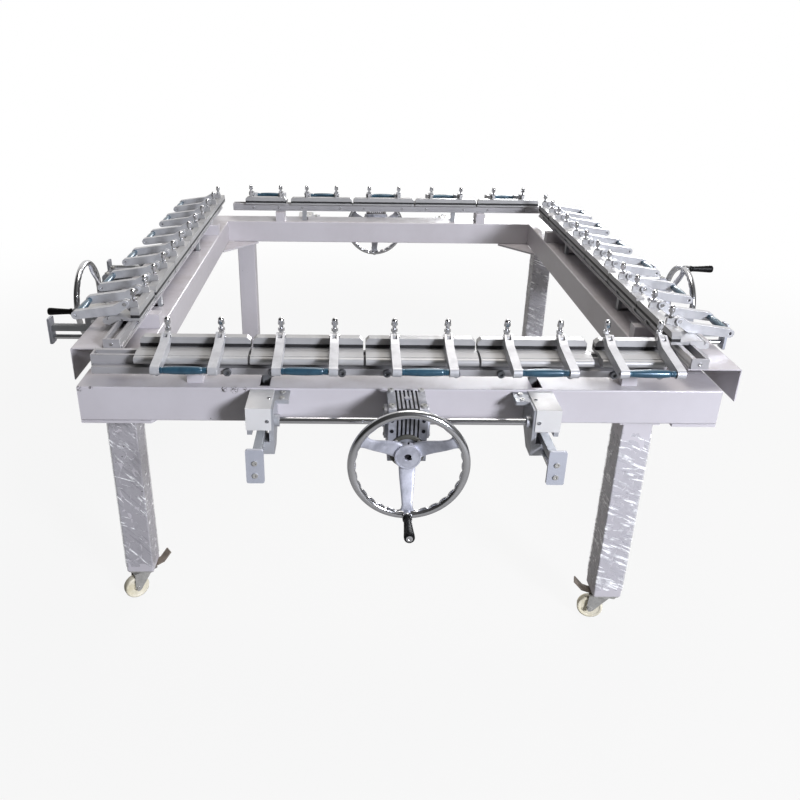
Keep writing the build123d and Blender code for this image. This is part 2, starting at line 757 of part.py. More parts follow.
def rack_set(side):
    """Two racks with their uprights, guide rods and end plates."""
    pieces = []
    for place in (-RACK_PLACE, RACK_PLACE):
        pieces += [rack(side, place), guide_rod(side, place), end_plate(side, place)]
        face = outward(side.drive_out + RACK_OUT + END_PLATE_THICKNESS)
        rack_middle = RACK_BOTTOM + RACK_HEIGHT / 2
        pieces.append(socket_screw(face, [(place, rack_middle), (place, GUIDE_LEVEL)]))
    return side.place * group(*pieces)


def rack(side, place):
    """Toothed bar with the upright that joins it to the rail."""
    tooth_line = RACK_PITCH_LINE - TOOTH_DEDENDUM
    mesh_out = side.drive_out + SHAFT_OUT
    outer_end = side.drive_out + RACK_OUT
    first = int((mesh_out - RACK_TOOTH_START) / TOOTH_PITCH)
    last = int((outer_end - mesh_out) / TOOTH_PITCH) - 1
    root_half = TOOTH_THICKNESS / 2 + TOOTH_DEDENDUM * FLANK
    tip_half = TOOTH_THICKNESS / 2 - TOOTH_ADDENDUM * FLANK
    tip_line = RACK_PITCH_LINE + TOOTH_ADDENDUM
    outline = [(-RACK_INNER_END, RACK_BOTTOM), (-RACK_INNER_END, tooth_line)]
    for index in range(-first, last + 1):
        middle = mesh_out + (index + 0.5) * TOOTH_PITCH
        outline.append((middle - root_half, tooth_line))
        outline.append((middle - tip_half, tip_line))
        outline.append((middle + tip_half, tip_line))
        outline.append((middle + root_half, tooth_line))
    outline += [(outer_end, tooth_line), (outer_end, RACK_BOTTOM)]
    upright_out = -RACK_INNER_END + UPRIGHT_THICKNESS
    with BuildPart() as bar:
        with BuildSketch(across(place)):
            with BuildLine():
                Polyline(*outline, close=True)
            make_face()
        extrude(amount=RACK_WIDTH / 2, both=True)
        with BuildSketch(across(place)):
            with BuildLine():
                Polyline(
                    (-RACK_INNER_END, RACK_BOTTOM),
                    (upright_out, RACK_BOTTOM),
                    (upright_out, side.rail_bottom),
                    (-RACK_INNER_END, side.rail_bottom),
                    close=True,
                )
            make_face()
        extrude(amount=RACK_WIDTH / 2, both=True)
    return bar.part


def guide_rod(side, place):
    """Rod that slides in the bracket's lower boss."""
    inner = side.drive_out + GUIDE_INNER_END
    with BuildPart() as rod:
        with BuildSketch(outward(inner)):
            with Locations((place, GUIDE_LEVEL)):
                Circle(GUIDE_ROD / 2)
        extrude(amount=side.drive_out + RACK_OUT - inner)
    return rod.part


def end_plate(side, place):
    """Plate that ties the rack and the rod together at their outer ends."""
    with BuildPart() as plate:
        with BuildSketch(outward(side.drive_out + RACK_OUT)):
            with Locations((place, END_PLATE_TOP - END_PLATE_HEIGHT / 2)):
                RectangleRounded(END_PLATE_WIDTH, END_PLATE_HEIGHT, 5)
        extrude(amount=END_PLATE_THICKNESS)
    return plate.part


@cache
def pinion():
    """Spur pinion about its own axis, with a tooth pointing straight down."""
    root = PINION_RADIUS - TOOTH_DEDENDUM
    tip = PINION_RADIUS + TOOTH_ADDENDUM
    root_half = TOOTH_THICKNESS / 2 + TOOTH_DEDENDUM * FLANK / 2
    tip_half = TOOTH_THICKNESS / 2 - TOOTH_ADDENDUM * FLANK
    flank = ((root, -root_half), (tip, -tip_half), (tip, tip_half), (root, root_half))
    outline = []
    for index in range(PINION_TEETH):
        angle = 2 * pi * index / PINION_TEETH - pi / 2
        for radius, half in flank:
            y = radius * cos(angle) - half * sin(angle)
            z = radius * sin(angle) + half * cos(angle)
            outline.append((y, z))
    with BuildPart() as gear:
        with BuildSketch(Plane.YZ):
            with BuildLine():
                Polyline(*outline, close=True)
            make_face()
            Circle(SHAFT_DIAMETER / 2, mode=Mode.SUBTRACT)
        extrude(amount=PINION_WIDTH / 2, both=True)
    return gear.part


def cross_shaft(side):
    """Shaft with its collars, two pinions and the worm wheel."""
    with BuildPart() as bar:
        with BuildSketch(Plane.YZ):
            Circle(SHAFT_DIAMETER / 2)
        extrude(amount=SHAFT_REACH, both=True)
    collar_place = RACK_PLACE - BRACKET_HALF_WIDTH - GAP - COLLAR_WIDTH / 2
    rings = [ring(way * collar_place, COLLAR_WIDTH, COLLAR_DIAMETER) for way in (-1, 1)]
    wheel_radius = WORM_DROP - WORM_DIAMETER / 2 - GAP
    rings.append(ring(DRIVE_CENTRE, WORM_WHEEL_WIDTH, 2 * wheel_radius))
    pinions = [Location((place, 0, 0)) * pinion() for place in (-RACK_PLACE, RACK_PLACE)]
    axis = Location((0, -side.drive_out - SHAFT_OUT, SHAFT_LEVEL))
    return side.place * axis * group(bar.part, *rings, *pinions)


def ring(place, width, diameter):
    """Plain ring on the cross shaft."""
    with BuildPart() as collar:
        with BuildSketch(Plane.YZ.offset(place)):
            Circle(diameter / 2)
            Circle(SHAFT_DIAMETER / 2, mode=Mode.SUBTRACT)
        extrude(amount=width / 2, both=True)
    return collar.part


def pinion_bracket(side, way):
    """Back plate, full cheek with flange and guide boss, and short outer cheek."""
    out = side.drive_out
    place = way * RACK_PLACE
    cheek_in = place - way * (BRACKET_HALF_WIDTH - BRACKET_CHEEK / 2)
    cheek_out = place + way * (BRACKET_HALF_WIDTH - BRACKET_CHEEK / 2)
    boss_bottom = GUIDE_LEVEL - BOSS_HEIGHT / 2
    back_bottom = -BEAM_HEIGHT + CORNER_PLATE
    with BuildPart() as bracket:
        with BuildSketch(outward(out)):
            with Locations((place, (BRACKET_TOP + back_bottom) / 2)):
                Rectangle(2 * BRACKET_HALF_WIDTH, BRACKET_TOP - back_bottom)
        extrude(amount=BRACKET_BACK)
        with BuildSketch(across(cheek_in)):
            with BuildLine():
                Polyline(
                    (out + BRACKET_BACK, BRACKET_TOP),
                    (out + BRACKET_REACH, BRACKET_TOP),
                    (out + BRACKET_REACH, boss_bottom),
                    (out + BOSS_INNER, boss_bottom),
                    (out + BRACKET_BACK, back_bottom),
                    close=True,
                )
            make_face()
        extrude(amount=BRACKET_CHEEK / 2, both=True)
        with BuildSketch(across(cheek_out)):
            cheek_middle = (BRACKET_TOP + BRACKET_OUTER_CHEEK_BOTTOM) / 2
            with Locations((out + (BRACKET_BACK + BRACKET_REACH) / 2, cheek_middle)):
                Rectangle(BRACKET_REACH - BRACKET_BACK, BRACKET_TOP - BRACKET_OUTER_CHEEK_BOTTOM)
        extrude(amount=BRACKET_CHEEK / 2, both=True)
        boss_inner_edge = BRACKET_HALF_WIDTH - BRACKET_CHEEK
        boss_outer_edge = GUIDE_ROD / 2 + BOSS_WALL
        with BuildSketch(outward(out + BOSS_INNER)):
            middle = place + way * (boss_outer_edge - boss_inner_edge) / 2
            with Locations((middle, GUIDE_LEVEL)):
                Rectangle(boss_inner_edge + boss_outer_edge, BOSS_HEIGHT)
        extrude(amount=BRACKET_REACH - BOSS_INNER)
        flange_middle = cheek_in - way * (BRACKET_CHEEK + BRACKET_FLANGE_WIDTH) / 2
        with BuildSketch(level(BRACKET_TOP)):
            with Locations((flange_middle, -out - BRACKET_FLANGE_LENGTH / 2)):
                Rectangle(BRACKET_FLANGE_WIDTH, BRACKET_FLANGE_LENGTH)
        extrude(amount=-BRACKET_FLANGE_THICKNESS)
        with BuildSketch(across(place)):
            with Locations((out + SHAFT_OUT, SHAFT_LEVEL)):
                Circle(SHAFT_DIAMETER / 2 + RUNNING_FIT)
        extrude(amount=BRACKET_HALF_WIDTH, both=True, mode=Mode.SUBTRACT)
        with BuildSketch(outward(out)):
            with Locations((place, GUIDE_LEVEL)):
                Circle(GUIDE_ROD / 2 + RUNNING_FIT)
            rack_hole = RACK_HEIGHT + TOOTH_ADDENDUM + 2 * RACK_SLOT_CLEARANCE
            with Locations((place, RACK_BOTTOM + (RACK_HEIGHT + TOOTH_ADDENDUM) / 2)):
                Rectangle(RACK_WIDTH + 2, rack_hole)
        extrude(amount=BRACKET_REACH, mode=Mode.SUBTRACT)
    screw_places = [(flange_middle, -out - distance) for distance in BRACKET_SCREW_PLACES]
    screws = socket_screw(level(BRACKET_TOP), screw_places)
    return side.place * group(bracket.part, screws)


def pinion_cover(side, way):
    """Folded cover over the top and the front of the bracket, with one screw on each face."""
    out = side.drive_out
    reach = out + BRACKET_REACH
    middle = way * (RACK_PLACE + (BRACKET_CHEEK + COVER_WIDTH) / 2 - BRACKET_HALF_WIDTH)
    with BuildPart() as sheet:
        with BuildSketch(across(middle)):
            with BuildLine():
                Polyline(
                    (out, BRACKET_TOP),
                    (reach, BRACKET_TOP),
                    (reach, -COVER_DROP),
                    (reach + COVER_SHEET, -COVER_DROP),
                    (reach + COVER_SHEET, BRACKET_TOP + COVER_SHEET),
                    (out, BRACKET_TOP + COVER_SHEET),
                    close=True,
                )
            make_face()
        extrude(amount=COVER_WIDTH / 2, both=True)
    screw_u = middle - way * (COVER_WIDTH / 2 - COVER_SCREW_INSET)
    top_place = (screw_u, -out - BRACKET_REACH / 2)
    front_place = (screw_u, BRACKET_TOP - COVER_SCREW_DROP)
    top_screw = socket_screw(level(BRACKET_TOP + COVER_SHEET), [top_place], *SMALL_SCREW)
    front_screw = socket_screw(outward(reach + COVER_SHEET), [front_place], *SMALL_SCREW)
    return side.place * group(sheet.part, top_screw, front_screw)


def gearbox(side):
    """Finned housing round the worm and wheel, on a mounting block."""
    out = side.drive_out
    back = out + GEARBOX_BACK
    middle_out = back + GEARBOX_DEPTH / 2
    middle_up = GEARBOX_TOP - GEARBOX_HEIGHT / 2
    shaft_at = (out + SHAFT_OUT, SHAFT_LEVEL)
    wheel_cavity = WORM_DROP - WORM_DIAMETER / 2 + 4
    with BuildPart() as housing:
        with BuildSketch(across(DRIVE_CENTRE)):
            with Locations((middle_out, middle_up)):
                RectangleRounded(GEARBOX_DEPTH, GEARBOX_HEIGHT, GEARBOX_CORNER)
        extrude(amount=GEARBOX_WIDTH / 2, both=True)
        front = back + GEARBOX_DEPTH
        slot_height = GEARBOX_TOP - GEARBOX_SLOT_BOTTOM
        with BuildSketch(outward(front)):
            with Locations((DRIVE_CENTRE, GEARBOX_TOP - slot_height / 2)):
                with GridLocations(GEARBOX_SLOT_PITCH, 0, GEARBOX_SLOTS, 1):
                    Rectangle(GEARBOX_SLOT, slot_height)
        extrude(amount=-GEARBOX_SLOT_DEPTH, mode=Mode.SUBTRACT)
        with BuildSketch(level(GEARBOX_TOP)):
            with Locations((DRIVE_CENTRE, -middle_out - GEARBOX_WALL)):
                with GridLocations(GEARBOX_SLOT_PITCH, 0, GEARBOX_SLOTS, 1):
                    Rectangle(GEARBOX_SLOT, GEARBOX_DEPTH)
        extrude(amount=-GEARBOX_SLOT_DEPTH, mode=Mode.SUBTRACT)
        with BuildSketch(across(DRIVE_CENTRE)):
            with Locations(shaft_at):
                Circle(GEARBOX_FLANGE / 2)
        extrude(amount=GEARBOX_WIDTH / 2 + GEARBOX_FLANGE_THICKNESS, both=True)
        with BuildSketch(outward(back + GEARBOX_DEPTH - GEARBOX_CORNER)):
            with Locations((DRIVE_CENTRE, WORM_LEVEL)):
                Circle(WORM_SHAFT / 2 + GEARBOX_CORNER)
        extrude(amount=GEARBOX_CORNER)
        with BuildSketch(level(GEARBOX_TOP)):
            with Locations((DRIVE_CENTRE, -middle_out)):
                RegularPolygon(GEARBOX_PLUG / 2, 6)
        extrude(amount=4)
        with BuildSketch(across(DRIVE_CENTRE)):
            with Locations(shaft_at):
                Circle(wheel_cavity)
        extrude(amount=WORM_WHEEL_WIDTH / 2 + 6, both=True, mode=Mode.SUBTRACT)
        with BuildSketch(outward(back + GEARBOX_WALL)):
            with Locations((DRIVE_CENTRE, WORM_LEVEL)):
                Circle(WORM_DIAMETER / 2 + 3)
        extrude(amount=GEARBOX_DEPTH - 2 * GEARBOX_WALL, mode=Mode.SUBTRACT)
        with BuildSketch(across(DRIVE_CENTRE)):
            with Locations(shaft_at):
                Circle(SHAFT_DIAMETER / 2 + RUNNING_FIT)
        extrude(amount=GEARBOX_WIDTH, both=True, mode=Mode.SUBTRACT)
        with BuildSketch(outward(middle_out)):
            with Locations((DRIVE_CENTRE, WORM_LEVEL)):
                Circle(WORM_SHAFT / 2 + RUNNING_FIT)
        extrude(amount=GEARBOX_DEPTH, mode=Mode.SUBTRACT)
    mount_top = BRACKET_TOP
    mount_height = BEAM_HEIGHT + BRACKET_TOP - CORNER_PLATE
    with BuildPart() as mount:
        with BuildSketch(outward(out)):
            with Locations((DRIVE_CENTRE, mount_top - mount_height / 2)):
                Rectangle(GEARBOX_MOUNT_WIDTH, mount_height)
        extrude(amount=GEARBOX_BACK)
    screws = []
    for way in (-1, 1):
        face = Plane(
            origin=(
                DRIVE_CENTRE + way * (GEARBOX_WIDTH / 2 + GEARBOX_FLANGE_THICKNESS),
                -shaft_at[0],
                shaft_at[1],
            ),
            x_dir=(0, -1, 0),
            z_dir=(way, 0, 0),
        )
        ring_radius = GEARBOX_FLANGE / 2 - 9
        places = []
        for index in range(4):
            angle = radians(45 + 90 * index)
            places.append((ring_radius * cos(angle), ring_radius * sin(angle)))
        screws.append(socket_screw(face, places, 9, 3))
    return side.place * group(housing.part, mount.part, *screws)


# Handwheel, built about its own axis: X along the side, Y up, Z outward


def handwheel_frame(side):
    """From the handwheel's own directions to the side's."""
    axis = Location((DRIVE_CENTRE, -side.drive_out, WORM_LEVEL))
    return axis * Location((0, 0, 0), (90, 0, 0)) * Location((0, 0, 0), (0, 0, side.grip_angle))


@cache
def dished_wheel():
    """Dished wheel with three spokes, the grip's axle and the worm shaft."""
    rim_radius = (WHEEL_DIAMETER - WHEEL_RIM) / 2
    hub_front = WHEEL_HUB_BACK + WHEEL_HUB_LENGTH
    spoke_back = WHEEL_HUB_BACK + WHEEL_HUB_LENGTH * 0.62
    with BuildPart() as wheel:
        with BuildSketch(Plane.XZ):
            with Locations((rim_radius, WHEEL_PLANE)):
                Circle(WHEEL_RIM / 2)
        revolve(axis=Axis.Z)
        with BuildSketch(Plane.XY.offset(WHEEL_HUB_BACK)):
            Circle(WHEEL_HUB_DIAMETER / 2)
        extrude(amount=WHEEL_HUB_LENGTH)
        for index in range(WHEEL_SPOKES):
            angle = radians(360 * index / WHEEL_SPOKES)
            along = Vector(cos(angle), sin(angle), 0)
            start = along * (WHEEL_HUB_DIAMETER / 2 - 8) + Vector(0, 0, spoke_back)
            finish = along * rim_radius + Vector(0, 0, WHEEL_PLANE)
            run = finish - start
            side_way = Vector(-sin(angle), cos(angle), 0)
            with BuildSketch(Plane(origin=start, x_dir=side_way, z_dir=run)):
                Ellipse(15, 8)
            with BuildSketch(Plane(origin=finish, x_dir=side_way, z_dir=run)):
                Ellipse(10, 6)
            loft()
        with BuildSketch(Plane.XY.offset(WHEEL_PLANE)):
            with Locations((rim_radius, 0)):
                Circle(GRIP_BOSS / 2)
        extrude(amount=GRIP_START - GAP - WHEEL_PLANE)
        with BuildSketch(Plane.XY.offset(WHEEL_PLANE)):
            with Locations((rim_radius, 0)):
                Circle(GRIP_AXLE / 2)
        extrude(amount=GRIP_END - 6 - WHEEL_PLANE)
        with BuildSketch(Plane.XY.offset(WHEEL_HUB_BACK)):
            Circle(WORM_SHAFT / 2)
            with Locations((0, WORM_SHAFT / 2 + 1)):
                Rectangle(6, 4)
        extrude(amount=WHEEL_HUB_LENGTH, mode=Mode.SUBTRACT)
    worm_middle = SHAFT_OUT
    with BuildPart() as worm:
        with BuildSketch(Plane.XY.offset(GEARBOX_BACK + GEARBOX_WALL + GAP)):
            Circle(WORM_SHAFT / 2)
        extrude(amount=hub_front - 4 - GEARBOX_BACK - GEARBOX_WALL - GAP)
        with BuildSketch(Plane.XY.offset(worm_middle)):
            Circle(WORM_DIAMETER / 2)
        extrude(amount=WORM_LENGTH / 2, both=True)
    return group(wheel.part, worm.part)


@cache
def turned_grip():
    """Turned grip that spins on the handwheel's axle, with a domed cap."""
    rim_radius = (WHEEL_DIAMETER - WHEEL_RIM) / 2
    radius = GRIP_DIAMETER / 2
    bore = GRIP_AXLE / 2 + RUNNING_FIT
    axle_end = GRIP_END - 6 + GAP
    with BuildPart() as turned:
        with BuildSketch(Plane.XZ):
            with BuildLine():
                Polyline(
                    (bore, GRIP_START),
                    (radius - 2, GRIP_START),
                    (radius - 2, GRIP_START + 6),
                    (radius - 3.5, GRIP_START + 9),
                )
                Spline(
                    (radius - 3.5, GRIP_START + 9),
                    (radius - 0.6, GRIP_START + 45),
                    (radius, GRIP_END - 12),
                    tangents=((0.15, 1), (0, 1)),
                )
                Polyline(
                    (radius, GRIP_END - 12),
                    (radius, GRIP_END - 4),
                    (radius - 4, GRIP_END),
                    (0, GRIP_END),
                    (0, axle_end),
                    (bore, axle_end),
                    (bore, GRIP_START),
                )
            make_face()
        revolve(axis=Axis.Z)
    return Location((rim_radius, 0, 0)) * turned.part


# Castors, built about the swivel axis with the floor at Z = 0 and the wheel towards +X


def castor_place(side):
    """From the castor's own directions to the machine's."""
    spot = side.place * Location((side.leg_centre, LEG_INSET + LEG_SIZE / 2, -BEAM_TOP))
    return Location(spot.position, (0, 0, side.castor_turn))


def castor_fork(side):
    """Swivel fork with its bearing cup, axle, nuts and brake pedal."""
    cup_top = CASTOR_HEIGHT - CASTOR_PLATE_THICKNESS - GAP
    cup_bottom = CASTOR_HEIGHT - CASTOR_PLATE_THICKNESS - CASTOR_CUP_HEIGHT
    wheel_radius = CASTOR_WHEEL_DIAMETER / 2
    cheek_place = CASTOR_WHEEL_WIDTH / 2 + 1.5 + CASTOR_SHEET / 2
    crown = cup_bottom - CASTOR_SHEET
    with BuildPart() as fork:
        with BuildSketch(Plane.XY.offset(cup_bottom)):
            Circle(CASTOR_CUP_DIAMETER / 2)
        extrude(amount=cup_top - cup_bottom, taper=8)
        with BuildSketch(Plane.XY.offset(crown)):
            RectangleRounded(CASTOR_PLATE, 2 * cheek_place + CASTOR_SHEET, 6)
        extrude(amount=CASTOR_SHEET)
        for way in (-1, 1):
            with BuildSketch(Plane.XZ.offset(way * cheek_place)):
                with BuildLine():
                    Polyline(
                        (-20, crown),
                        (36, crown),
                        (CASTOR_TRAIL + 9, wheel_radius - 4),
                        (CASTOR_TRAIL - 9, wheel_radius - 8),
                        close=True,
                    )
                make_face()
            extrude(amount=CASTOR_SHEET / 2, both=True)
        with BuildSketch(Plane.XY.offset(crown)):
            Circle(CASTOR_PIN / 2 + RUNNING_FIT)
        extrude(amount=CASTOR_CUP_HEIGHT + CASTOR_SHEET, mode=Mode.SUBTRACT)
        with BuildSketch(Plane.XZ):
            with Locations((CASTOR_TRAIL, wheel_radius)):
                Circle(CASTOR_AXLE / 2)
        extrude(amount=cheek_place + CASTOR_SHEET / 2, both=True)
        for way in (-1, 1):
            with BuildSketch(Plane.XZ.offset(way * (cheek_place + CASTOR_SHEET / 2))):
                with Locations((CASTOR_TRAIL, wheel_radius)):
                    RegularPolygon(7.5, 6)
            extrude(amount=way * 6)
    with BuildPart() as pedal:
        with BuildSketch(Plane.XZ):
            with BuildLine():
                Polyline(
                    (14, cup_bottom + 2),
                    (44, cup_bottom + 4.5),
                    (62, cup_bottom + 8),
                    (87, cup_bottom + 33),
                    (84, cup_bottom + 36),
                    (60.5, cup_bottom + 12),
                    (44, cup_bottom + 8.5),
                    (14, cup_bottom + 6),
                    close=True,
                )
            make_face()
        extrude(amount=14, both=True)
        with BuildSketch(Plane.XY.offset(cup_bottom)):
            with Locations((31, 0)):
                Rectangle(12, 24)
        extrude(amount=5)
        with BuildSketch(Plane.XY.offset(cup_bottom)):
            Circle(CASTOR_CUP_DIAMETER / 2)
        extrude(amount=CASTOR_CUP_HEIGHT, mode=Mode.SUBTRACT)
    turned = Location((0, 0, 0), (0, 0, side.pedal_turn)) * pedal.part
    return castor_place(side) * group(fork.part, turned)


def castor_wheel(side):
    """Nylon wheel with a raised hub."""
    radius = CASTOR_WHEEL_DIAMETER / 2
    half = CASTOR_WHEEL_WIDTH / 2
    bore = CASTOR_AXLE / 2 + RUNNING_FIT
    with BuildPart() as roller:
        with BuildSketch(Plane.XY):
            with BuildLine():
                Polyline(
                    (bore, -half),
                    (bore + 7, -half),
                    (bore + 9, -half + 3),
                    (radius - 8, -half + 3),
                    (radius - 6, -half + 1),
                    (radius - 3, -half + 1),
                    (radius, -half + 4),
                    (radius, half - 4),
                    (radius - 3, half - 1),
                    (radius - 6, half - 1),
                    (radius - 8, half - 3),
                    (bore + 9, half - 3),
                    (bore + 7, half),
                    (bore, half),
                    close=True,
                )
            make_face()
        revolve(axis=Axis.Y)
    axle = Location((CASTOR_TRAIL, 0, radius))
    return castor_place(side) * axle * roller.part


# The machine

front, right, rear, left = SIDES
front_beams = [beam(side.length, side) for side in (front, rear)]
side_beams = [beam(side.length - 2 * BEAM_WIDTH, side) for side in (right, left)]
bars = [support_bars(side) for side in SIDES]
plates = [corner_plate(side) for side in SIDES]
write(group(*front_beams, *side_beams, *bars, *plates), "table_frame")
write(group(*[piece for side in SIDES for piece in leg(side)]), "legs")
write(group(deck(left), deck(right)), "side_decks")

brackets = [pinion_bracket(side, way) for side in SIDES for way in (-1, 1)]
covers = [pinion_cover(side, way) for side in SIDES for way in (-1, 1)]
write(group(*brackets), "pinion_brackets")
write(group(*covers), "pinion_covers")
write(group(*[gearbox(side) for side in SIDES]), "gearboxes")

for side in SIDES:
    write(rail(side), f"rail_{side.name}")
    write(jaw_row(side), f"jaws_{side.name}")
    for number, (centre, _) in enumerate(side.jaws, start=1):
        write(lever_set(side, centre), f"clamp_levers_{side.name}_{number}")
    write(rack_set(side), f"racks_{side.name}")
    write(cross_shaft(side), f"cross_shaft_{side.name}")
    write(side.place * handwheel_frame(side) * dished_wheel(), f"handwheel_{side.name}")
    write(side.place * handwheel_frame(side) * turned_grip(), f"wheel_grip_{side.name}")
    write(castor_fork(side), f"castor_fork_{side.name}")
    write(castor_wheel(side), f"castor_wheel_{side.name}")
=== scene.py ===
"""Looks of the screen stretching machine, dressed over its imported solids.

Shapes are written in millimetres in a side's own directions, as its solids are: X along the side,
-Y outward from the beam's outer face, Z from the beam top. A side's place turns them into metres.
"""

import json
from math import cos, pi, radians, sin

import bmesh
import bpy
import numpy as np
from mathutils import Matrix, Vector, noise

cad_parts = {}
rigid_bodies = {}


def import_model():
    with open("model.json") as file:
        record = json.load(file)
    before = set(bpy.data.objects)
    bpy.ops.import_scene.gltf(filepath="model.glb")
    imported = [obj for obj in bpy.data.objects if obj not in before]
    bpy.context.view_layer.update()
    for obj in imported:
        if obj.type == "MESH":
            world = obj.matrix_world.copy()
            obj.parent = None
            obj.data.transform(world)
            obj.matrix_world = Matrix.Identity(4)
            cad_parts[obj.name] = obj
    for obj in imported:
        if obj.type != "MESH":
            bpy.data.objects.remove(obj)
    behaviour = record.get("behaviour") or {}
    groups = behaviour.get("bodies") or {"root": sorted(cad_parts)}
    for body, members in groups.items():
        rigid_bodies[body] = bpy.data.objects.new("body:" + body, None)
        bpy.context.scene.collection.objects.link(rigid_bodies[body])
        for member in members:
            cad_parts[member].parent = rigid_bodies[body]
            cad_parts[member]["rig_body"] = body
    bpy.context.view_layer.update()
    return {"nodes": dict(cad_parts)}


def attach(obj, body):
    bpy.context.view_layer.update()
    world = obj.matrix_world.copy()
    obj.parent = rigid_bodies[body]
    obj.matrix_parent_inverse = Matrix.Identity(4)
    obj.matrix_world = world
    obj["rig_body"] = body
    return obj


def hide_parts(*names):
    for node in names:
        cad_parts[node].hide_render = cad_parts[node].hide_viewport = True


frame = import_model()

# The frame, in metres

BEAM_TOP = 0.785
FRAME_HALF = {"front": 0.995, "right": 0.825, "rear": 0.995, "left": 0.825}
LEG_HALF = 0.04

# A side's own pieces, in its millimetres: places along X, out along -Y, levels along Z

JAW_LONG, JAW_SHORT = 284, 189
JAW_GAP, JAW_SHORT_GAP = 6, 22
BOLT_SPREAD = 0.31              # of a jaw's length, either side of its middle
BOLT_INSET, BOLT_LEVEL = 80, 57.4
LIP_INSET, LIP_LEVEL = 12, 40
RAIL_OUTER_WALL = 34.8
HANDLE_OUT, HANDLE_LEVEL = 85, 84
HANDLE_HALF = 57.5
DECKED_DRIVE_OUT = 55.0         # how much further out the drive sits beside a deck
DRIVE_CENTRE = 8.0
WORM_LEVEL = -97.0
GEARBOX_BACK, GEARBOX_FRONT = 27, 147
LID_LEVEL = 13
LID_SCREWS = (13, 17)           # from the gearbox's back and front
SCREW_SPREAD = 38
FACE_SCREW_LEVELS = (-16, -44)
RING_SCREW_RADIUS = 39
RING_SEAT = 4.8                 # the ring's face beyond the gearbox's front
SLOTS_HALF_WIDTH = 29
SLOTS_LOW, SLOTS_HIGH = -65, 12.4
SLOTS_BACK, SLOTS_FRONT = 30, 146.4

# A handwheel and a castor, in millimetres

CRANK_RADIUS = 134.5
RIM_SECTION = 10.5
RIM_OUT = 220
SHAFT_RADIUS = 9.3
CASTOR_INSET = 60               # from the beam's outer face
CASTOR_TRAIL = 30
TYRE_RADIUS = 37.5


class Side:
    """One side of the machine: where it is, and what differs from side to side."""

    def __init__(self, name, turn, decked, jaw_start, long_jaws, grip_angle, castor_turn, leg_centre):
        self.name = name
        self.drive_out = DECKED_DRIVE_OUT if decked else 0.0
        self.grip_angle = radians(grip_angle)
        self.castor_turn = radians(castor_turn)
        self.leg_centre = leg_centre
        self.place = (
            Matrix.Rotation(radians(turn), 4, "Z")
            @ Matrix.Translation((0, -FRAME_HALF[name], BEAM_TOP))
            @ Matrix.Scale(0.001, 4)
        )
        self.jaws = []
        place = jaw_start
        for _ in range(long_jaws):
            self.jaws.append((place + JAW_LONG / 2, JAW_LONG))
            place += JAW_LONG + JAW_GAP
        place += JAW_SHORT_GAP - JAW_GAP
        self.jaws.append((place + JAW_SHORT / 2, JAW_SHORT))

    @property
    def grain(self):
        """The world axis that runs along this side."""
        return "x" if self.name in ("front", "rear") else "y"

    def spots(self, places, facing):
        """Places in millimetres and one facing, as spots in metres."""
        turned_facing = (self.place.to_3x3() @ Vector(facing)).normalized()
        return [(self.place @ Vector(place), turned_facing) for place in places]

    def bolt_places(self, inset, level):
        """Two places under every jaw of the side's row."""
        ways = [(centre, way * BOLT_SPREAD * length) for centre, length in self.jaws for way in (-1, 1)]
        return [(centre + shift, inset, level) for centre, shift in ways]

    def drive_axis(self):
        """The worm's axis as Z, outward, with its start at the gearbox's seat."""
        return (
            self.place
            @ Matrix.Translation((DRIVE_CENTRE, -self.drive_out, WORM_LEVEL))
            @ Matrix.Rotation(pi / 2, 4, "X")
        )


SIDES = [
    Side("front", 0, False, -672, 4, -90, 165, 630),
    Side("right", 90, True, -861, 5, 90, 250, 825),
    Side("rear", 180, False, -743, 4, -90, 30, 630),
    Side("left", 270, True, -946, 5, 0, 215, 825),
]


# Shader maths


class Value:
    """A shader socket whose Python operators add Math nodes."""

    def __init__(self, shader, socket):
        self.shader = shader
        self.socket = socket

    def maths(self, operation, *others):
        return self.shader.node("ShaderNodeMath", {"operation": operation}, [self, *others])

    def __add__(self, other):
        return self.maths("ADD", other)

    def __sub__(self, other):
        return self.maths("SUBTRACT", other)

    def __mul__(self, other):
        return self.maths("MULTIPLY", other)

    def __rsub__(self, other):
        return self.shader.node("ShaderNodeMath", {"operation": "SUBTRACT"}, [other, self])

    __radd__ = __add__
    __rmul__ = __mul__

    def most(self, other):
        return self.maths("MAXIMUM", other)

    def ramp(self, start, finish, low=0.0, high=1.0):
        """low before start, high after finish, smooth between them."""
        settings = {"interpolation_type": "SMOOTHSTEP"}
        return self.shader.node("ShaderNodeMapRange", settings, [self, start, finish, low, high])


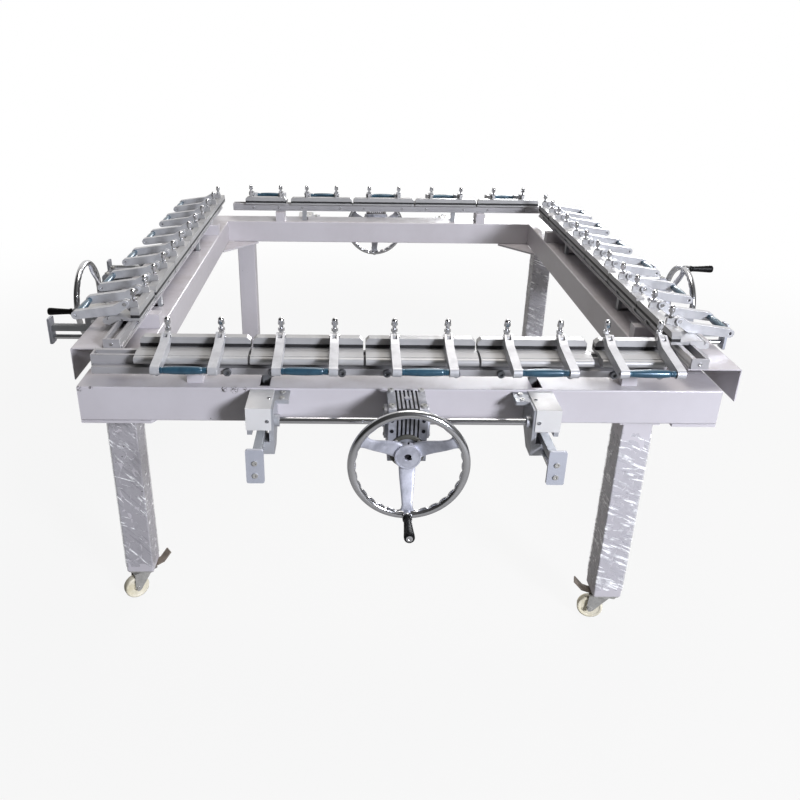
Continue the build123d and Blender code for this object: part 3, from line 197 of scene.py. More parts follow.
class Shader:
    """A new material, or the world, built node by node; a material reads Object coordinates."""

    def __init__(self, name, world=None):
        self.owner = world or bpy.data.materials.new(name)
        self.owner.use_nodes = True
        self.tree = self.owner.node_tree
        self.tree.nodes.clear()
        self.place = self.node("ShaderNodeTexCoord", output="Generated" if world else "Object")

    def node(self, kind, settings=None, inputs=(), output=0):
        """Adds a node: its settings first, then its inputs as a list or by name, or by number."""
        made = self.tree.nodes.new(kind)
        for key, value in (settings or {}).items():
            setattr(made, key, value)
        items = inputs.items() if isinstance(inputs, dict) else enumerate(inputs)
        for key, value in items:
            if isinstance(value, Value):
                self.tree.links.new(value.socket, made.inputs[key])
            else:
                made.inputs[key].default_value = value
        return Value(self, made.outputs[output])

    def axis(self, number):
        """The place along X, Y or Z, by number."""
        return self.node("ShaderNodeSeparateXYZ", inputs=[self.place], output=number)

    def ray(self, kind):
        return self.node("ShaderNodeLightPath", output=f"Is {kind} Ray")

    def mapped(self, scale=(1, 1, 1), turn=(0, 0, 0)):
        inputs = {"Vector": self.place, "Scale": scale, "Rotation": turn}
        return self.node("ShaderNodeMapping", inputs=inputs)

    def turned(self, turn, lengths):
        """Object coordinates in turned axes, counted in lengths along each of them."""
        inputs = {"Vector": self.place, "Rotation": turn, "Scale": lengths}
        return self.node("ShaderNodeMapping", {"vector_type": "TEXTURE"}, inputs)

    def noise(self, scale, detail=2.0, roughness=0.5, vector=None, distortion=0.0):
        inputs = {
            "Vector": vector or self.place,
            "Scale": scale,
            "Detail": detail,
            "Roughness": roughness,
            "Distortion": distortion,
        }
        return self.node("ShaderNodeTexNoise", inputs=inputs)

    def cells(self, scale, vector=None, output="Distance"):
        inputs = {"Vector": vector or self.place, "Scale": scale}
        return self.node("ShaderNodeTexVoronoi", inputs=inputs, output=output)

    def mix(self, factor, first, second):
        """Colour mix; first and second are colours as written on the screen or sockets."""
        inputs = {0: factor, 6: as_colour(first), 7: as_colour(second)}
        return self.node("ShaderNodeMix", {"data_type": "RGBA"}, inputs, 2)

    def bump(self, height, strength, distance):
        inputs = {"Height": height, "Strength": strength, "Distance": distance}
        return self.node("ShaderNodeBump", inputs=inputs)

    def surface(self, **inputs):
        """Ends the material in one Principled shader."""
        named = {key.replace("_", " "): value for key, value in inputs.items()}
        named["Base Color"] = as_colour(named["Base Color"])
        return self.end(self.node("ShaderNodeBsdfPrincipled", inputs=named))

    def end(self, shader, kind="ShaderNodeOutputMaterial"):
        output = self.tree.nodes.new(kind)
        self.tree.links.new(shader.socket, output.inputs["Surface"])
        return self.owner


def as_colour(value):
    """A colour written as on the screen, 0 to 255, turned into the linear colour that shaders use."""
    if isinstance(value, Value):
        return value
    linear = []
    for part in value[:3]:
        part = part / 255
        linear.append(part / 12.92 if part <= 0.04045 else ((part + 0.055) / 1.055) ** 2.4)
    return (*linear, 1.0)


# Materials

# Upward painted faces mix towards this tint: dusty, and also painted shade on the tops.
DUST_AND_TOP_SHADE = (150, 142, 132)
BARE_EDGE = (50, 44, 40)
CHROME_HAZE = (184, 186, 190)
WORN_ENAMEL = (150, 165, 175)
WHITE = (255, 255, 255)


def painted(name, light, dark, chips=0.62, worn=()):
    """Oven-baked paint: faint orange peel, cloudy tone, a few chips on edges, and a dusty tint on upward
    faces that is also painted shade.
    """
    s = Shader(name)
    cloud = s.noise(2.3, 4.0, 0.6)
    fine = s.noise(55.0, 3.0, 0.6)
    facing = s.node("ShaderNodeNewGeometry", output="Normal")
    up = s.node("ShaderNodeSeparateXYZ", inputs=[facing], output=2)
    # Darker, warmer patches on upward faces: a dusty tint that is also painted shade on the tops.
    dust_and_top_shade = up.ramp(0.6, 0.95) * s.noise(9.0, 5.0, 0.65).ramp(0.42, 0.68)
    colour = s.mix(cloud.ramp(0.35, 0.65) * 0.6 + fine * 0.25, light, dark)
    colour = s.mix(dust_and_top_shade * 0.22, colour, DUST_AND_TOP_SHADE)
    specks = s.cells(42.0, s.mapped((1, 1, 1), (0.3, 0.5, 0.2)))
    patch = s.noise(3.1, 2.0, 0.5, s.mapped((1, 1, 1), (0.9, 0.2, 0.4)))
    chip = (1 - specks.ramp(0.05, 0.11)) * patch.ramp(chips, chips + 0.03)
    small = s.noise(260.0, 3.0, 0.7).ramp(0.51, 0.54)
    for place, reach in worn:
        away = s.node("ShaderNodeVectorMath", {"operation": "DISTANCE"}, [s.place, place], "Value")
        chip = chip.most((1 - away.ramp(reach * 0.3, reach)) * small)
    colour = s.mix(chip, colour, BARE_EDGE)
    peel = s.noise(420.0, 2.0, 0.5)
    rough = 0.3 + fine * 0.12 + dust_and_top_shade * 0.2 + chip * 0.3
    height = peel - chip * 4.0
    return s.surface(
        Base_Color=colour,
        Roughness=rough,
        Coat_Weight=0.35 - chip * 0.33,
        Coat_Roughness=0.16,
        Normal=s.bump(height, 0.12, 0.0006),
    )


def along_grain(grain, along, across):
    """A pattern's scale that is coarse along the grain and fine across it."""
    return (along, across, across) if grain == "x" else (across, along, across)


def extruded(name, grain, tone=(182, 182, 182), dark=(150, 150, 152)):
    """Extruded aluminium: fine lines along the bar, faint handling marks."""
    s = Shader(name)
    lines = s.noise(1.0, 3.0, 0.6, s.mapped(along_grain(grain, 1.6, 520)))
    cloud = s.noise(6.0, 4.0, 0.6)
    marks = s.noise(70.0, 4.0, 0.7, s.mapped((1, 1, 1), (0.4, 0.7, 0.3))).ramp(0.62, 0.72)
    colour = s.mix(lines * 0.5 + cloud.ramp(0.35, 0.7) * 0.4, tone, dark)
    rough = 0.3 + lines * 0.14 + marks * 0.12 + cloud * 0.06
    return s.surface(
        Base_Color=colour,
        Metallic=0.3,
        Roughness=rough,
        Normal=s.bump(lines + marks * 0.3, 0.16, 0.0003),
    )


def cast(name, tone, dark, grain, rough, metal):
    """Cast and tumbled aluminium: small dimples, and cloudy patches that mix the tone towards the dark
    one.
    """
    s = Shader(name)
    dimples = s.noise(grain, 4.0, 0.65)
    cloud = s.noise(24.0, 4.0, 0.6)
    colour = s.mix(cloud.ramp(0.38, 0.72) * 0.55 + dimples * 0.3, tone, dark)
    return s.surface(
        Base_Color=colour,
        Metallic=metal,
        Roughness=rough + dimples * 0.16 + cloud * 0.06,
        Normal=s.bump(dimples, 0.22, 0.0005),
    )


def machined(name, tone, dark, grain, rough, metal=0.93):
    """Milled steel with a satin finish, a little oil darkening and fine scratches."""
    s = Shader(name)
    fine = s.noise(grain, 3.0, 0.7)
    oil = s.noise(11.0, 5.0, 0.65).ramp(0.45, 0.7)
    scratches = s.noise(1.0, 2.0, 0.5, s.mapped((30, 900, 260), (0.2, 0.1, 0.6))).ramp(0.6, 0.7)
    colour = s.mix(fine * 0.35 + oil * 0.45, tone, dark)
    return s.surface(
        Base_Color=colour,
        Metallic=metal,
        Roughness=rough + fine * 0.14 + oil * 0.1 + scratches * 0.08,
        Normal=s.bump(fine + scratches * 0.4, 0.12, 0.0003),
    )


def bright(name, tone=(222, 223, 226), rough=0.07, grain="x"):
    """Chrome plate or ground bar: near mirror, with faint haze and hairlines."""
    s = Shader(name)
    haze = s.noise(14.0, 4.0, 0.6).ramp(0.4, 0.75)
    hairs = s.noise(1.0, 2.0, 0.5, s.mapped(along_grain(grain, 4, 700)))
    colour = s.mix(haze * 0.35, tone, CHROME_HAZE)
    return s.surface(
        Base_Color=colour,
        Metallic=1.0,
        Roughness=rough + haze * 0.07 + hairs * 0.05,
        Normal=s.bump(hairs, 0.03, 0.0002),
    )


def enamel(name, tone, dark, rough=0.25, coat=0.5, metal=0.25):
    """Coloured enamel over turned metal, worn a little towards its darker ground."""
    s = Shader(name)
    cloud = s.noise(38.0, 4.0, 0.6)
    wear = s.noise(160.0, 4.0, 0.7).ramp(0.6, 0.74)
    colour = s.mix(cloud.ramp(0.35, 0.7) * 0.7, tone, dark)
    colour = s.mix(wear * 0.18, colour, WORN_ENAMEL)
    return s.surface(
        Base_Color=colour,
        Metallic=metal,
        Roughness=rough + cloud * 0.1 + wear * 0.1,
        Coat_Weight=coat,
        Coat_Roughness=0.12,
        Normal=s.bump(s.noise(300.0, 2.0, 0.5), 0.06, 0.0003),
    )


def moulded(name, tone, dark, rough, speck, amount, shine=0.5):
    """Moulded plastic or rubber: fine grain, a soft tone change and light scuffs."""
    s = Shader(name)
    grain = s.noise(520.0, 3.0, 0.6)
    cloud = s.noise(20.0, 4.0, 0.6)
    scuff = s.noise(85.0, 5.0, 0.7).ramp(0.58, 0.72)
    colour = s.mix(cloud.ramp(0.35, 0.7), tone, dark)
    colour = s.mix(scuff * amount, colour, speck)
    return s.surface(
        Base_Color=colour,
        Roughness=rough + grain * 0.12 + scuff * 0.1,
        Specular_IOR_Level=shine,
        Normal=s.bump(grain, 0.12, 0.0003),
    )


def plated(name, tone, dark):
    """Zinc plate: cloudy, slightly yellow, with small crystals."""
    s = Shader(name)
    crystals = s.cells(260.0, output="Color")
    crystal = s.node("ShaderNodeSeparateColor", inputs=[crystals])
    cloud = s.noise(30.0, 4.0, 0.6).ramp(0.35, 0.7)
    colour = s.mix(crystal * 0.3 + cloud * 0.5, tone, dark)
    return s.surface(
        Base_Color=colour,
        Metallic=0.5,
        Roughness=0.28 + crystal * 0.12 + cloud * 0.12,
        Normal=s.bump(s.noise(420.0, 3.0, 0.6), 0.1, 0.0003),
    )


def film(name, slant, rarity, ground):
    """Clear stretch film: grey where it lies flat, with white slanting streaks along its folds that are
    partly whitened creases and partly painted highlights.
    """
    s = Shader(name)
    streaks = s.noise(1.0, 3.0, 0.55, s.turned((0.0, slant, 0.0), (0.1, 0.04, 0.0072)), 0.2)
    crossing = s.noise(1.0, 2.0, 0.5, s.turned((0.0, slant * 0.35, 0.0), (0.07, 0.03, 0.006)), 0.3)
    patch = s.noise(15.0, 3.0, 0.6).ramp(0.38, 0.6)
    # White streaks: partly whitened creases, partly painted highlights on the folds.
    crease_and_highlight = streaks.ramp(rarity, rarity + 0.025) * patch + crossing.ramp(0.64, 0.66) * (1 - patch)
    dark = (1 - streaks.ramp(0.36, 0.42)) * 0.35
    milk = s.noise(32.0, 4.0, 0.6).ramp(0.5, 0.75)
    return s.surface(
        Base_Color=s.mix(crease_and_highlight, ground, WHITE),
        Roughness=0.12 + milk * 0.2,
        Alpha=0.24 + crease_and_highlight * 0.76 + milk * 0.1 + dark * 0.4,
        Coat_Weight=0.4,
        Coat_Roughness=0.05,
        Normal=s.bump(streaks + crossing * 0.5, 0.6, 0.003),
    )


# Chips on the front beam's upper edge: place and reach in metres

WORN_SPOTS = [
    ((-0.452, -0.995, 0.781), 0.012),
    ((-0.425, -0.995, 0.78), 0.014),
    ((-0.398, -0.995, 0.782), 0.009),
    ((-0.82, -0.995, 0.78), 0.012),
    ((-0.79, -0.996, 0.783), 0.008),
]

FRAME_PAINT = painted("frame_paint", (196, 193, 198), (183, 179, 183), worn=WORN_SPOTS)
COVER_PAINT = painted("cover_paint", (214, 214, 214), (202, 201, 199), chips=0.75)
EXTRUSION = {grain: extruded(f"extrusion_{grain}", grain) for grain in "xy"}
RAIL_METAL = {grain: extruded(f"rail_{grain}", grain, (180, 179, 181), (150, 149, 152)) for grain in "xy"}
LEVER_METAL = cast("lever_metal", (198, 199, 202), (164, 165, 169), 180.0, rough=0.26, metal=0.35)
# The gear case's dark tone, far below its casting's, is painted shade for its cavities and shaded sides.
GEAR_CASE_AND_SHADE = cast("gear_case", (190, 192, 200), (72, 74, 80), 240.0, rough=0.34, metal=0.6)
# Painted shade: the dark material for the faces inside the gearboxes' cooling slots.
SLOT_PAINTED_SHADE = cast("slot_dirt", (52, 52, 56), (26, 26, 28), 300.0, rough=0.5, metal=0.1)
CAP_CASE = cast("bearing_cap", (96, 95, 88), (48, 48, 44), 300.0, rough=0.4, metal=0.4)
WHEEL_CAST = cast("wheel_casting", (200, 202, 212), (128, 130, 140), 520.0, rough=0.34, metal=0.45)
BRACKET_STEEL = machined("bracket_steel", (180, 182, 187), (138, 140, 145), 700.0, rough=0.3, metal=0.45)
PLATE_STEEL = machined("plate_steel", (190, 193, 202), (166, 170, 180), 900.0, rough=0.4, metal=0.4)
BOLT_STEEL = machined("bolt_steel", (138, 140, 144), (64, 66, 70), 300.0, rough=0.24, metal=0.8)
RACK_STEEL = machined("rack_steel", (172, 175, 178), (116, 118, 120), 500.0, rough=0.32, metal=0.5)
# Black screws; the handwheels also use it as painted shade in the hub's bore.
SCREW_BLACK_AND_SHADE = machined("black_screw", (62, 62, 66), (30, 30, 32), 600.0, rough=0.3)
BAR_STEEL = {grain: bright(f"ground_bar_{grain}", (214, 215, 218), 0.1, grain) for grain in "xy"}
CHROME = bright("chrome")
WHEEL_CHROME = bright("wheel_chrome", (212, 213, 216), 0.12)
ZINC = plated("zinc_plate", (196, 195, 191), (150, 149, 145))
HANDLE_BLUE = enamel("handle_blue", (48, 84, 104), (34, 62, 80))
PEDAL = enamel("pedal_enamel", (128, 118, 108), (98, 90, 82), rough=0.38, coat=0.2, metal=0.1)
RUBBER = moulded("rubber", (24, 24, 26), (34, 34, 36), 0.55, (120, 120, 120), amount=0.12)
GRIP_BLACK = moulded("grip_black", (10, 10, 11), (16, 16, 18), 0.34, (90, 90, 90), amount=0.04, shine=0.16)
NYLON = moulded("nylon", (232, 226, 206), (206, 198, 168), 0.4, (120, 110, 90), amount=0.3)
FILM = film("stretch_film", slant=0.85, rarity=0.59, ground=(150, 151, 154))
# A denser wrap with a far lighter ground: partly the thicker film, partly painted light on the right-hand
# legs.
DENSE_LIT_FILM = film("dense_film", slant=0.4, rarity=0.54, ground=(196, 197, 202))


# Meshes

MERGE_DISTANCE = 2e-6
SAME_PLANE = radians(0.4)
SHARP_AFTER_ROUNDING = radians(46)


def circle(radius, level, count):
    """Points round Z at one level."""
    turns = [2 * pi * index / count for index in range(count)]
    return [(radius * cos(turn), radius * sin(turn), level) for turn in turns]


class Shape:
    """Points in millimetres and faces, each face with the number of its material."""

    def __init__(self):
        self.points = []
        self.faces = []
        self.paints = []

    def add(self, points, faces, paint=0, at=None):
        start = len(self.points)
        at = at or Matrix.Identity(4)
        self.points += [at @ Vector(point) for point in points]
        self.faces += [[start + index for index in face] for face in faces]
        self.paints += [paint] * len(faces)

    def loft(self, rings, paint=0, at=None, looped=False):
        """Joins rings of points that all have the same count, closed by end faces or as a loop."""
        count = len(rings[0])
        points = [point for ring in rings for point in ring]
        faces = []
        spans = len(rings) if looped else len(rings) - 1
        for row in range(spans):
            low, high = row * count, (row + 1) % len(rings) * count
            for index in range(count):
                after = (index + 1) % count
                faces.append([low + index, low + after, high + after, high + index])
        if not looped:
            faces.append(list(range(count))[::-1])
            faces.append([(len(rings) - 1) * count + index for index in range(count)])
        self.add(points, faces, paint, at)

    def turned(self, profile, at=None, paint=0, segments=32, looped=False):
        """A profile of (radius, height) turned about Z, closed by end discs or, looped, as a ring."""
        rings = [circle(max(radius, 0.01), height, segments) for radius, height in profile]
        self.loft(rings, paint, at, looped)

    def prism(self, outline, low, high, at=None, paint=0):
        rings = [[(x, y, z) for x, y in outline] for z in (low, high)]
        self.loft(rings, paint, at)


def added(name, data):
    """A new object in the scene."""
    made = bpy.data.objects.new(name, data)
    bpy.context.scene.collection.objects.link(made)
    return made


def applied(made):
    """The object's mesh as its modifiers leave it; the object goes."""
    graph = bpy.context.evaluated_depsgraph_get()
    result = bpy.data.meshes.new_from_object(made.evaluated_get(graph))
    bpy.data.objects.remove(made)
    return result


def worked(mesh, kind, **settings):
    """The mesh after one modifier."""
    made = added("draft", mesh)
    modifier = made.modifiers.new(kind.lower(), kind)
    for key, value in settings.items():
        setattr(modifier, key, value)
    return applied(made)


def shaded(mesh, smooth_below):
    """Smooth shading that stops at edges sharper than smooth_below radians."""
    mesh.polygons.foreach_set("use_smooth", [True] * len(mesh.polygons))
    mesh.set_sharp_from_angle(angle=smooth_below)
    return mesh


def weighted(mesh):
    """Flat faces stay flat beside the smooth ones that meet them."""
    return worked(mesh, "WEIGHTED_NORMAL", keep_sharp=True, weight=100)


def rounded(mesh, edge):
    """Rounds a mesh's sharp edges by edge metres and shades the rest smooth."""
    mesh = worked(mesh, "BEVEL", width=edge, segments=2, limit_method="ANGLE", angle_limit=radians(35))
    return weighted(shaded(mesh, SHARP_AFTER_ROUNDING))


def made_mesh(name, shape, place, paints, smooth_below):
    """The finished mesh of a shape that is made anew, smooth below an angle in degrees."""
    return weighted(shaded(to_mesh(name, shape, place, paints), radians(smooth_below)))


def to_mesh(name, shape, place, paints=()):
    """The shape as a mesh with merged points and outward faces, in metres."""
    mesh = bpy.data.meshes.new(name)
    for paint in paints:
        mesh.materials.append(paint)
    mesh.from_pydata([place @ point for point in shape.points], [], shape.faces)
    mesh.polygons.foreach_set("material_index", shape.paints)
    draft = bmesh.new()
    draft.from_mesh(mesh)
    bmesh.ops.remove_doubles(draft, verts=draft.verts, dist=MERGE_DISTANCE)
    bmesh.ops.recalc_face_normals(draft, faces=draft.faces)
    draft.to_mesh(mesh)
    draft.free()
    return mesh


def piece(name, mesh, paints, body, stands_for=()):
    """Makes the object for a mesh, with its materials, and ties it to a body."""
    mesh.name = name
    if not mesh.materials:
        for paint in paints:
            mesh.materials.append(paint)
    made = added(name, mesh)
    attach(made, body)
    if stands_for:
        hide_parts(*stands_for)
    return made


def islands(draft):
    """The separate solids of a bmesh, as lists of faces; touching solids share no edge of two faces."""
    seen = set()
    found = []
    for face in draft.faces:
        if face in seen:
            continue
        seen.add(face)
        stack = [face]
        solid = []
        while stack:
            here = stack.pop()
            solid.append(here)
            for edge in here.edges:
                if len(edge.link_faces) != 2:
                    continue
                for other in edge.link_faces:
                    if other not in seen:
                        seen.add(other)
                        stack.append(other)
        found.append(solid)
    return found


def dress(node, paints, choose=None, edge=0.0007, side=None, repaint=None):
    """Stands a cleaned copy with rounded edges in a CAD node's place.

    choose takes a solid's lowest and highest corner, in the side's millimetres, and gives the number of
    its material, or None to leave that solid out. repaint takes a face's centre and its solid's number.
    """
    draft = bmesh.new()
    draft.from_mesh(frame["nodes"][node].data)
    bmesh.ops.remove_doubles(draft, verts=draft.verts, dist=MERGE_DISTANCE)
    back = side.place.inverted() if side else Matrix.Scale(1000, 4)
    touching = any(len(edge.link_faces) > 2 for edge in draft.edges)
    for solid in islands(draft):
        corners = np.array([back @ vert.co for face in solid for vert in face.verts])
        paint = choose(corners.min(0), corners.max(0)) if choose else 0
        if paint is None:
            bmesh.ops.delete(draft, geom=solid, context="FACES")
            continue
        for face in solid:
            face.material_index = repaint(back @ face.calc_center_median(), paint) if repaint else paint
        if touching:
            bmesh.ops.split(draft, geom=solid)
    bmesh.ops.dissolve_limit(
        draft, angle_limit=SAME_PLANE, verts=draft.verts, edges=draft.edges, delimit={"MATERIAL"}
    )
    mesh = bpy.data.meshes.new(node)
    for paint in paints:
        mesh.materials.append(paint)
    draft.to_mesh(mesh)
    draft.free()
    body = frame["nodes"][node]["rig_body"]
    return piece(f"{node}_finish", rounded(mesh, edge), paints, body, [node])


# Geometry node trees


def new_tree(name, sizes):
    """An empty geometry tree with named sizes; gives the tree, its group nodes and a node maker."""
    tree = bpy.data.node_groups.new(name, "GeometryNodeTree")
    tree.interface.new_socket("Geometry", in_out="INPUT", socket_type="NodeSocketGeometry")
    for label, (kind, value) in sizes.items():
        made = tree.interface.new_socket(label, in_out="INPUT", socket_type=f"NodeSocket{kind}")
        if value is not None:
            made.default_value = value
    tree.interface.new_socket("Geometry", in_out="OUTPUT", socket_type="NodeSocketGeometry")
    start = tree.nodes.new("NodeGroupInput")
    finish = tree.nodes.new("NodeGroupOutput")

    def add(kind, settings=None, inputs=None, output=0):
        made = tree.nodes.new(kind)
        for key, value in (settings or {}).items():
            setattr(made, key, value)
        for key, value in (inputs or {}).items():
            if isinstance(value, bpy.types.NodeSocket):
                tree.links.new(value, made.inputs[key])
            else:
                made.inputs[key].default_value = value
        return made.outputs[output]

    return tree, start, finish, add


def grown(name, tree, mesh, sizes):
    """Runs a geometry tree on a mesh and gives the result as a plain mesh."""
    made = added(name, mesh)
    modifier = made.modifiers.new("grown", "NODES")
    modifier.node_group = tree
    for item in tree.interface.items_tree:
        if item.in_out == "INPUT" and item.name in sizes:
            modifier[item.identifier] = sizes[item.name]
    return applied(made)


def rim_tree():
    """A ring whose inner back face is cut into finger scallops."""
    sizes = {
        "Rim Radius": ("Float", CRANK_RADIUS / 1000),
        "Section Radius": ("Float", RIM_SECTION / 1000),
        "Scallops": ("Int", 30),
        "Depth": ("Float", 0.0045),
        "Material": ("Material", None),
    }
    tree, start, finish, add = new_tree("scalloped_rim", sizes)
    tree_in = start.outputs

    def maths(operation, *values):
        return add("ShaderNodeMath", {"operation": operation}, dict(enumerate(values)))

    def round_path(points, radius):
        return add("GeometryNodeCurvePrimitiveCircle", inputs={"Resolution": points, "Radius": radius})

    path = round_path(360, tree_in["Rim Radius"])
    section = round_path(24, tree_in["Section Radius"])
    ring = add("GeometryNodeCurveToMesh", inputs={"Curve": path, "Profile Curve": section})
    spot = add("GeometryNodeInputPosition")
    parts = tree.nodes.new("ShaderNodeSeparateXYZ")
    tree.links.new(spot, parts.inputs[0])
    x, y, z = parts.outputs
    distance = maths("SQRT", maths("ADD", maths("MULTIPLY", x, x), maths("MULTIPLY", y, y)))
    inner = maths("DIVIDE", maths("SUBTRACT", tree_in["Rim Radius"], distance), tree_in["Section Radius"])
    behind = maths("DIVIDE", maths("MULTIPLY", z, -1.0), tree_in["Section Radius"])
    leaning = maths("ADD", maths("MULTIPLY", inner, 0.85), maths("MULTIPLY", behind, 0.5))
    where = add(
        "ShaderNodeMapRange",
        {"interpolation_type": "SMOOTHSTEP"},
        {"Value": leaning, "From Min": 0.35, "From Max": 0.8},
    )
    turn = maths("MULTIPLY", maths("ARCTAN2", y, x), maths("MULTIPLY", tree_in["Scallops"], 0.5))
    valley = maths("POWER", maths("SUBTRACT", 1.0, maths("ABSOLUTE", maths("SINE", turn))), 1.4)
    amount = maths("MULTIPLY", maths("MULTIPLY", valley, where), tree_in["Depth"])
    level = add("ShaderNodeCombineXYZ", inputs={0: x, 1: y})
    away = add("ShaderNodeVectorMath", {"operation": "NORMALIZE"}, {0: level})
    shift = tree.nodes.new("ShaderNodeVectorMath")
    shift.operation = "SCALE"
    tree.links.new(away, shift.inputs[0])
    tree.links.new(amount, shift.inputs["Scale"])
    moved = add("GeometryNodeSetPosition", inputs={"Geometry": ring, "Offset": shift.outputs[0]})
    real = add("GeometryNodeRealizeInstances", inputs={"Geometry": moved})
    paint = {"Geometry": real, "Material": tree_in["Material"]}
    tree.links.new(add("GeometryNodeSetMaterial", inputs=paint), finish.inputs[0])
    return tree


def row_tree():
    """Stands a copy of one shape on every point, facing along the point's own direction."""
    sizes = {"Shape": ("Object", None), "Size": ("Float", 1.0), "Material": ("Material", None)}
    tree, start, finish, add = new_tree("row_of_copies", sizes)
    shape = add("GeometryNodeObjectInfo", inputs={"Object": start.outputs["Shape"]}, output="Geometry")
    facing = add("GeometryNodeInputNamedAttribute", {"data_type": "FLOAT_VECTOR"}, {"Name": "facing"})
    turn = add("FunctionNodeAlignRotationToVector", {"axis": "Z"}, {"Vector": facing})
    copies = add(
        "GeometryNodeInstanceOnPoints",
        inputs={
            "Points": start.outputs["Geometry"],
            "Instance": shape,
            "Rotation": turn,
            "Scale": start.outputs["Size"],
        },
    )
    real = add("GeometryNodeRealizeInstances", inputs={"Geometry": copies})
    paint = {"Geometry": real, "Material": start.outputs["Material"]}
    tree.links.new(add("GeometryNodeSetMaterial", inputs=paint), finish.inputs[0])
    return tree


ROW = row_tree()


def row(name, shape, spots, paint, body):
    """A row of copies of a shape on (place, facing) spots in metres, as one piece."""
    points = bpy.data.meshes.new(name)
    points.from_pydata([spot[0] for spot in spots], [], [])
    facing = points.attributes.new("facing", "FLOAT_VECTOR", "POINT")
    facing.data.foreach_set("vector", [part for spot in spots for part in spot[1]])
    model = added(f"{name}_model", to_mesh(f"{name}_model", shape, Matrix.Scale(0.001, 4)))
    mesh = grown(name, ROW, points, {"Shape": model, "Size": 1.0, "Material": paint})
    bpy.data.objects.remove(model)
    return piece(name, shaded(mesh, radians(35)), [paint], body)


def hexagon(radius, level, count):
    """Points round Z on the sides of a hexagon whose corners are radius away."""
    points = []
    for index in range(count):
        turn = 2 * pi * index / count
        reach = radius * cos(pi / 6) / cos(turn % (pi / 3) - pi / 6)
        points.append((reach * cos(turn), reach * sin(turn), level))
    return points


def cap_screw(radius, height, socket):
    """A socket cap screw: a head with a chamfered top and a hex socket."""
    sides = 24
    outer = [(radius, 0), (radius, height * 0.86), (radius * 0.9, height), (socket * 1.12, height)]
    rings = [circle(distance, up, sides) for distance, up in outer]
    rings += [hexagon(socket, up, sides) for up in (height * 0.98, height * 0.35)]
    shape = Shape()
    shape.loft(rings)
    return shape


BOLT = cap_screw(4.6, 4.2, 2.5)
HEAD = cap_screw(7.8, 6.0, 3.6)
RAIL_HEAD = cap_screw(10.2, 10.0, 5.4)
SMALL_HEAD = cap_screw(4.4, 3.0, 2.1)


# Frame, legs, decks


def by_size(limit):
    """Chooses material 0 for solids longer than a limit in millimetres, and 1 for the rest."""
    return lambda low, high: 0 if max(high - low) > limit else 1


dress("table_frame", [FRAME_PAINT], edge=0.0009)
dress("legs", [FRAME_PAINT, ZINC], by_size(200), 0.0008)
dress("side_decks", [FRAME_PAINT], edge=0.0006)
dress("pinion_brackets", [BRACKET_STEEL, ZINC], by_size(60), 0.0007)
dress("pinion_covers", [COVER_PAINT, CHROME], by_size(40), 0.0005)


# Gearboxes


def slot_paint(centre, paint):
    """The faces inside a gearbox's cooling slots take the dark slot material: painted shade in the
    recesses.
    """
    if paint != 0:
        return paint
    for side in SIDES:
        spot = side.place.inverted() @ (centre * 0.001)
        out = -spot.y - side.drive_out
        across = abs(spot.x - DRIVE_CENTRE) < SLOTS_HALF_WIDTH
        if across and SLOTS_LOW < spot.z < SLOTS_HIGH and SLOTS_BACK < out < SLOTS_FRONT:
            return 2
    return paint


dress(
    "gearboxes",
    [GEAR_CASE_AND_SHADE, ZINC, SLOT_PAINTED_SHADE],
    by_size(40),
    0.0006,
    repaint=slot_paint,
)
FRAME_BODY = frame["nodes"]["table_frame"]["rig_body"]


def gearbox_trim(side):
    """Lid screws, face screws and the ring round the worm's shaft, on one gearbox."""
    name = side.name
    back, front = side.drive_out + GEARBOX_BACK, side.drive_out + GEARBOX_FRONT
    columns = [DRIVE_CENTRE + way * SCREW_SPREAD for way in (-1, 1)]
    lid = [(x, -out, LID_LEVEL) for x in columns for out in (back + LID_SCREWS[0], front - LID_SCREWS[1])]
    row(f"lid_screws_{name}", HEAD, side.spots(lid, (0, 0, 1)), ZINC, FRAME_BODY)
    face = [(x, -front, up) for x in columns for up in FACE_SCREW_LEVELS]
    row(f"face_screws_{name}", SMALL_HEAD, side.spots(face, (0, -1, 0)), SCREW_BLACK_AND_SHADE, FRAME_BODY)
    profile = [(33.4, 146.5), (33.4, 150.6), (34.6, 151.8), (43, 151.8), (44.5, 150.3), (44.5, 146.5)]
    ring = Shape()
    ring.turned(profile, segments=64, looped=True)
    mesh = made_mesh("ring", ring, side.drive_axis(), [CAP_CASE], 30)
    piece(f"bearing_ring_{name}", mesh, [CAP_CASE], FRAME_BODY)
    places = []
    for x, z, _ in circle(RING_SCREW_RADIUS, 0, 8)[1::2]:
        places.append((DRIVE_CENTRE + x, -front - RING_SEAT, WORM_LEVEL + z))
    row(f"ring_screws_{name}", SMALL_HEAD, side.spots(places, (0, -1, 0)), ZINC, FRAME_BODY)


for side in SIDES:
    gearbox_trim(side)


# Stretch film left on three legs

FILM_GAP = 0.0012
FILM_STEP, FILM_ROW = 0.0032, 0.0045
FILM_OVERLAP = (-0.1, 1)        # where the film's end lies over its start


def film_path():
    """The film's way round a leg, as (place, inward normal, share of its side) steps."""
    corners = []
    reach = LEG_HALF + FILM_GAP
    for x, y in ((0, 1), (-1, 1), (-1, -1), (1, -1), (1, 1), FILM_OVERLAP):
        lift = 0.0005 if (x, y) == FILM_OVERLAP else 0.0
        corners.append(Vector((x * reach, y * reach + lift, 0)))
    path = []
    for start, finish in zip(corners, corners[1:]):
        steps = max(2, round((finish - start).length / FILM_STEP))
        normal = (finish - start).normalized().cross(Vector((0, 0, 1)))
        path += [(start.lerp(finish, step / steps), normal, step / steps) for step in range(steps)]
    return path


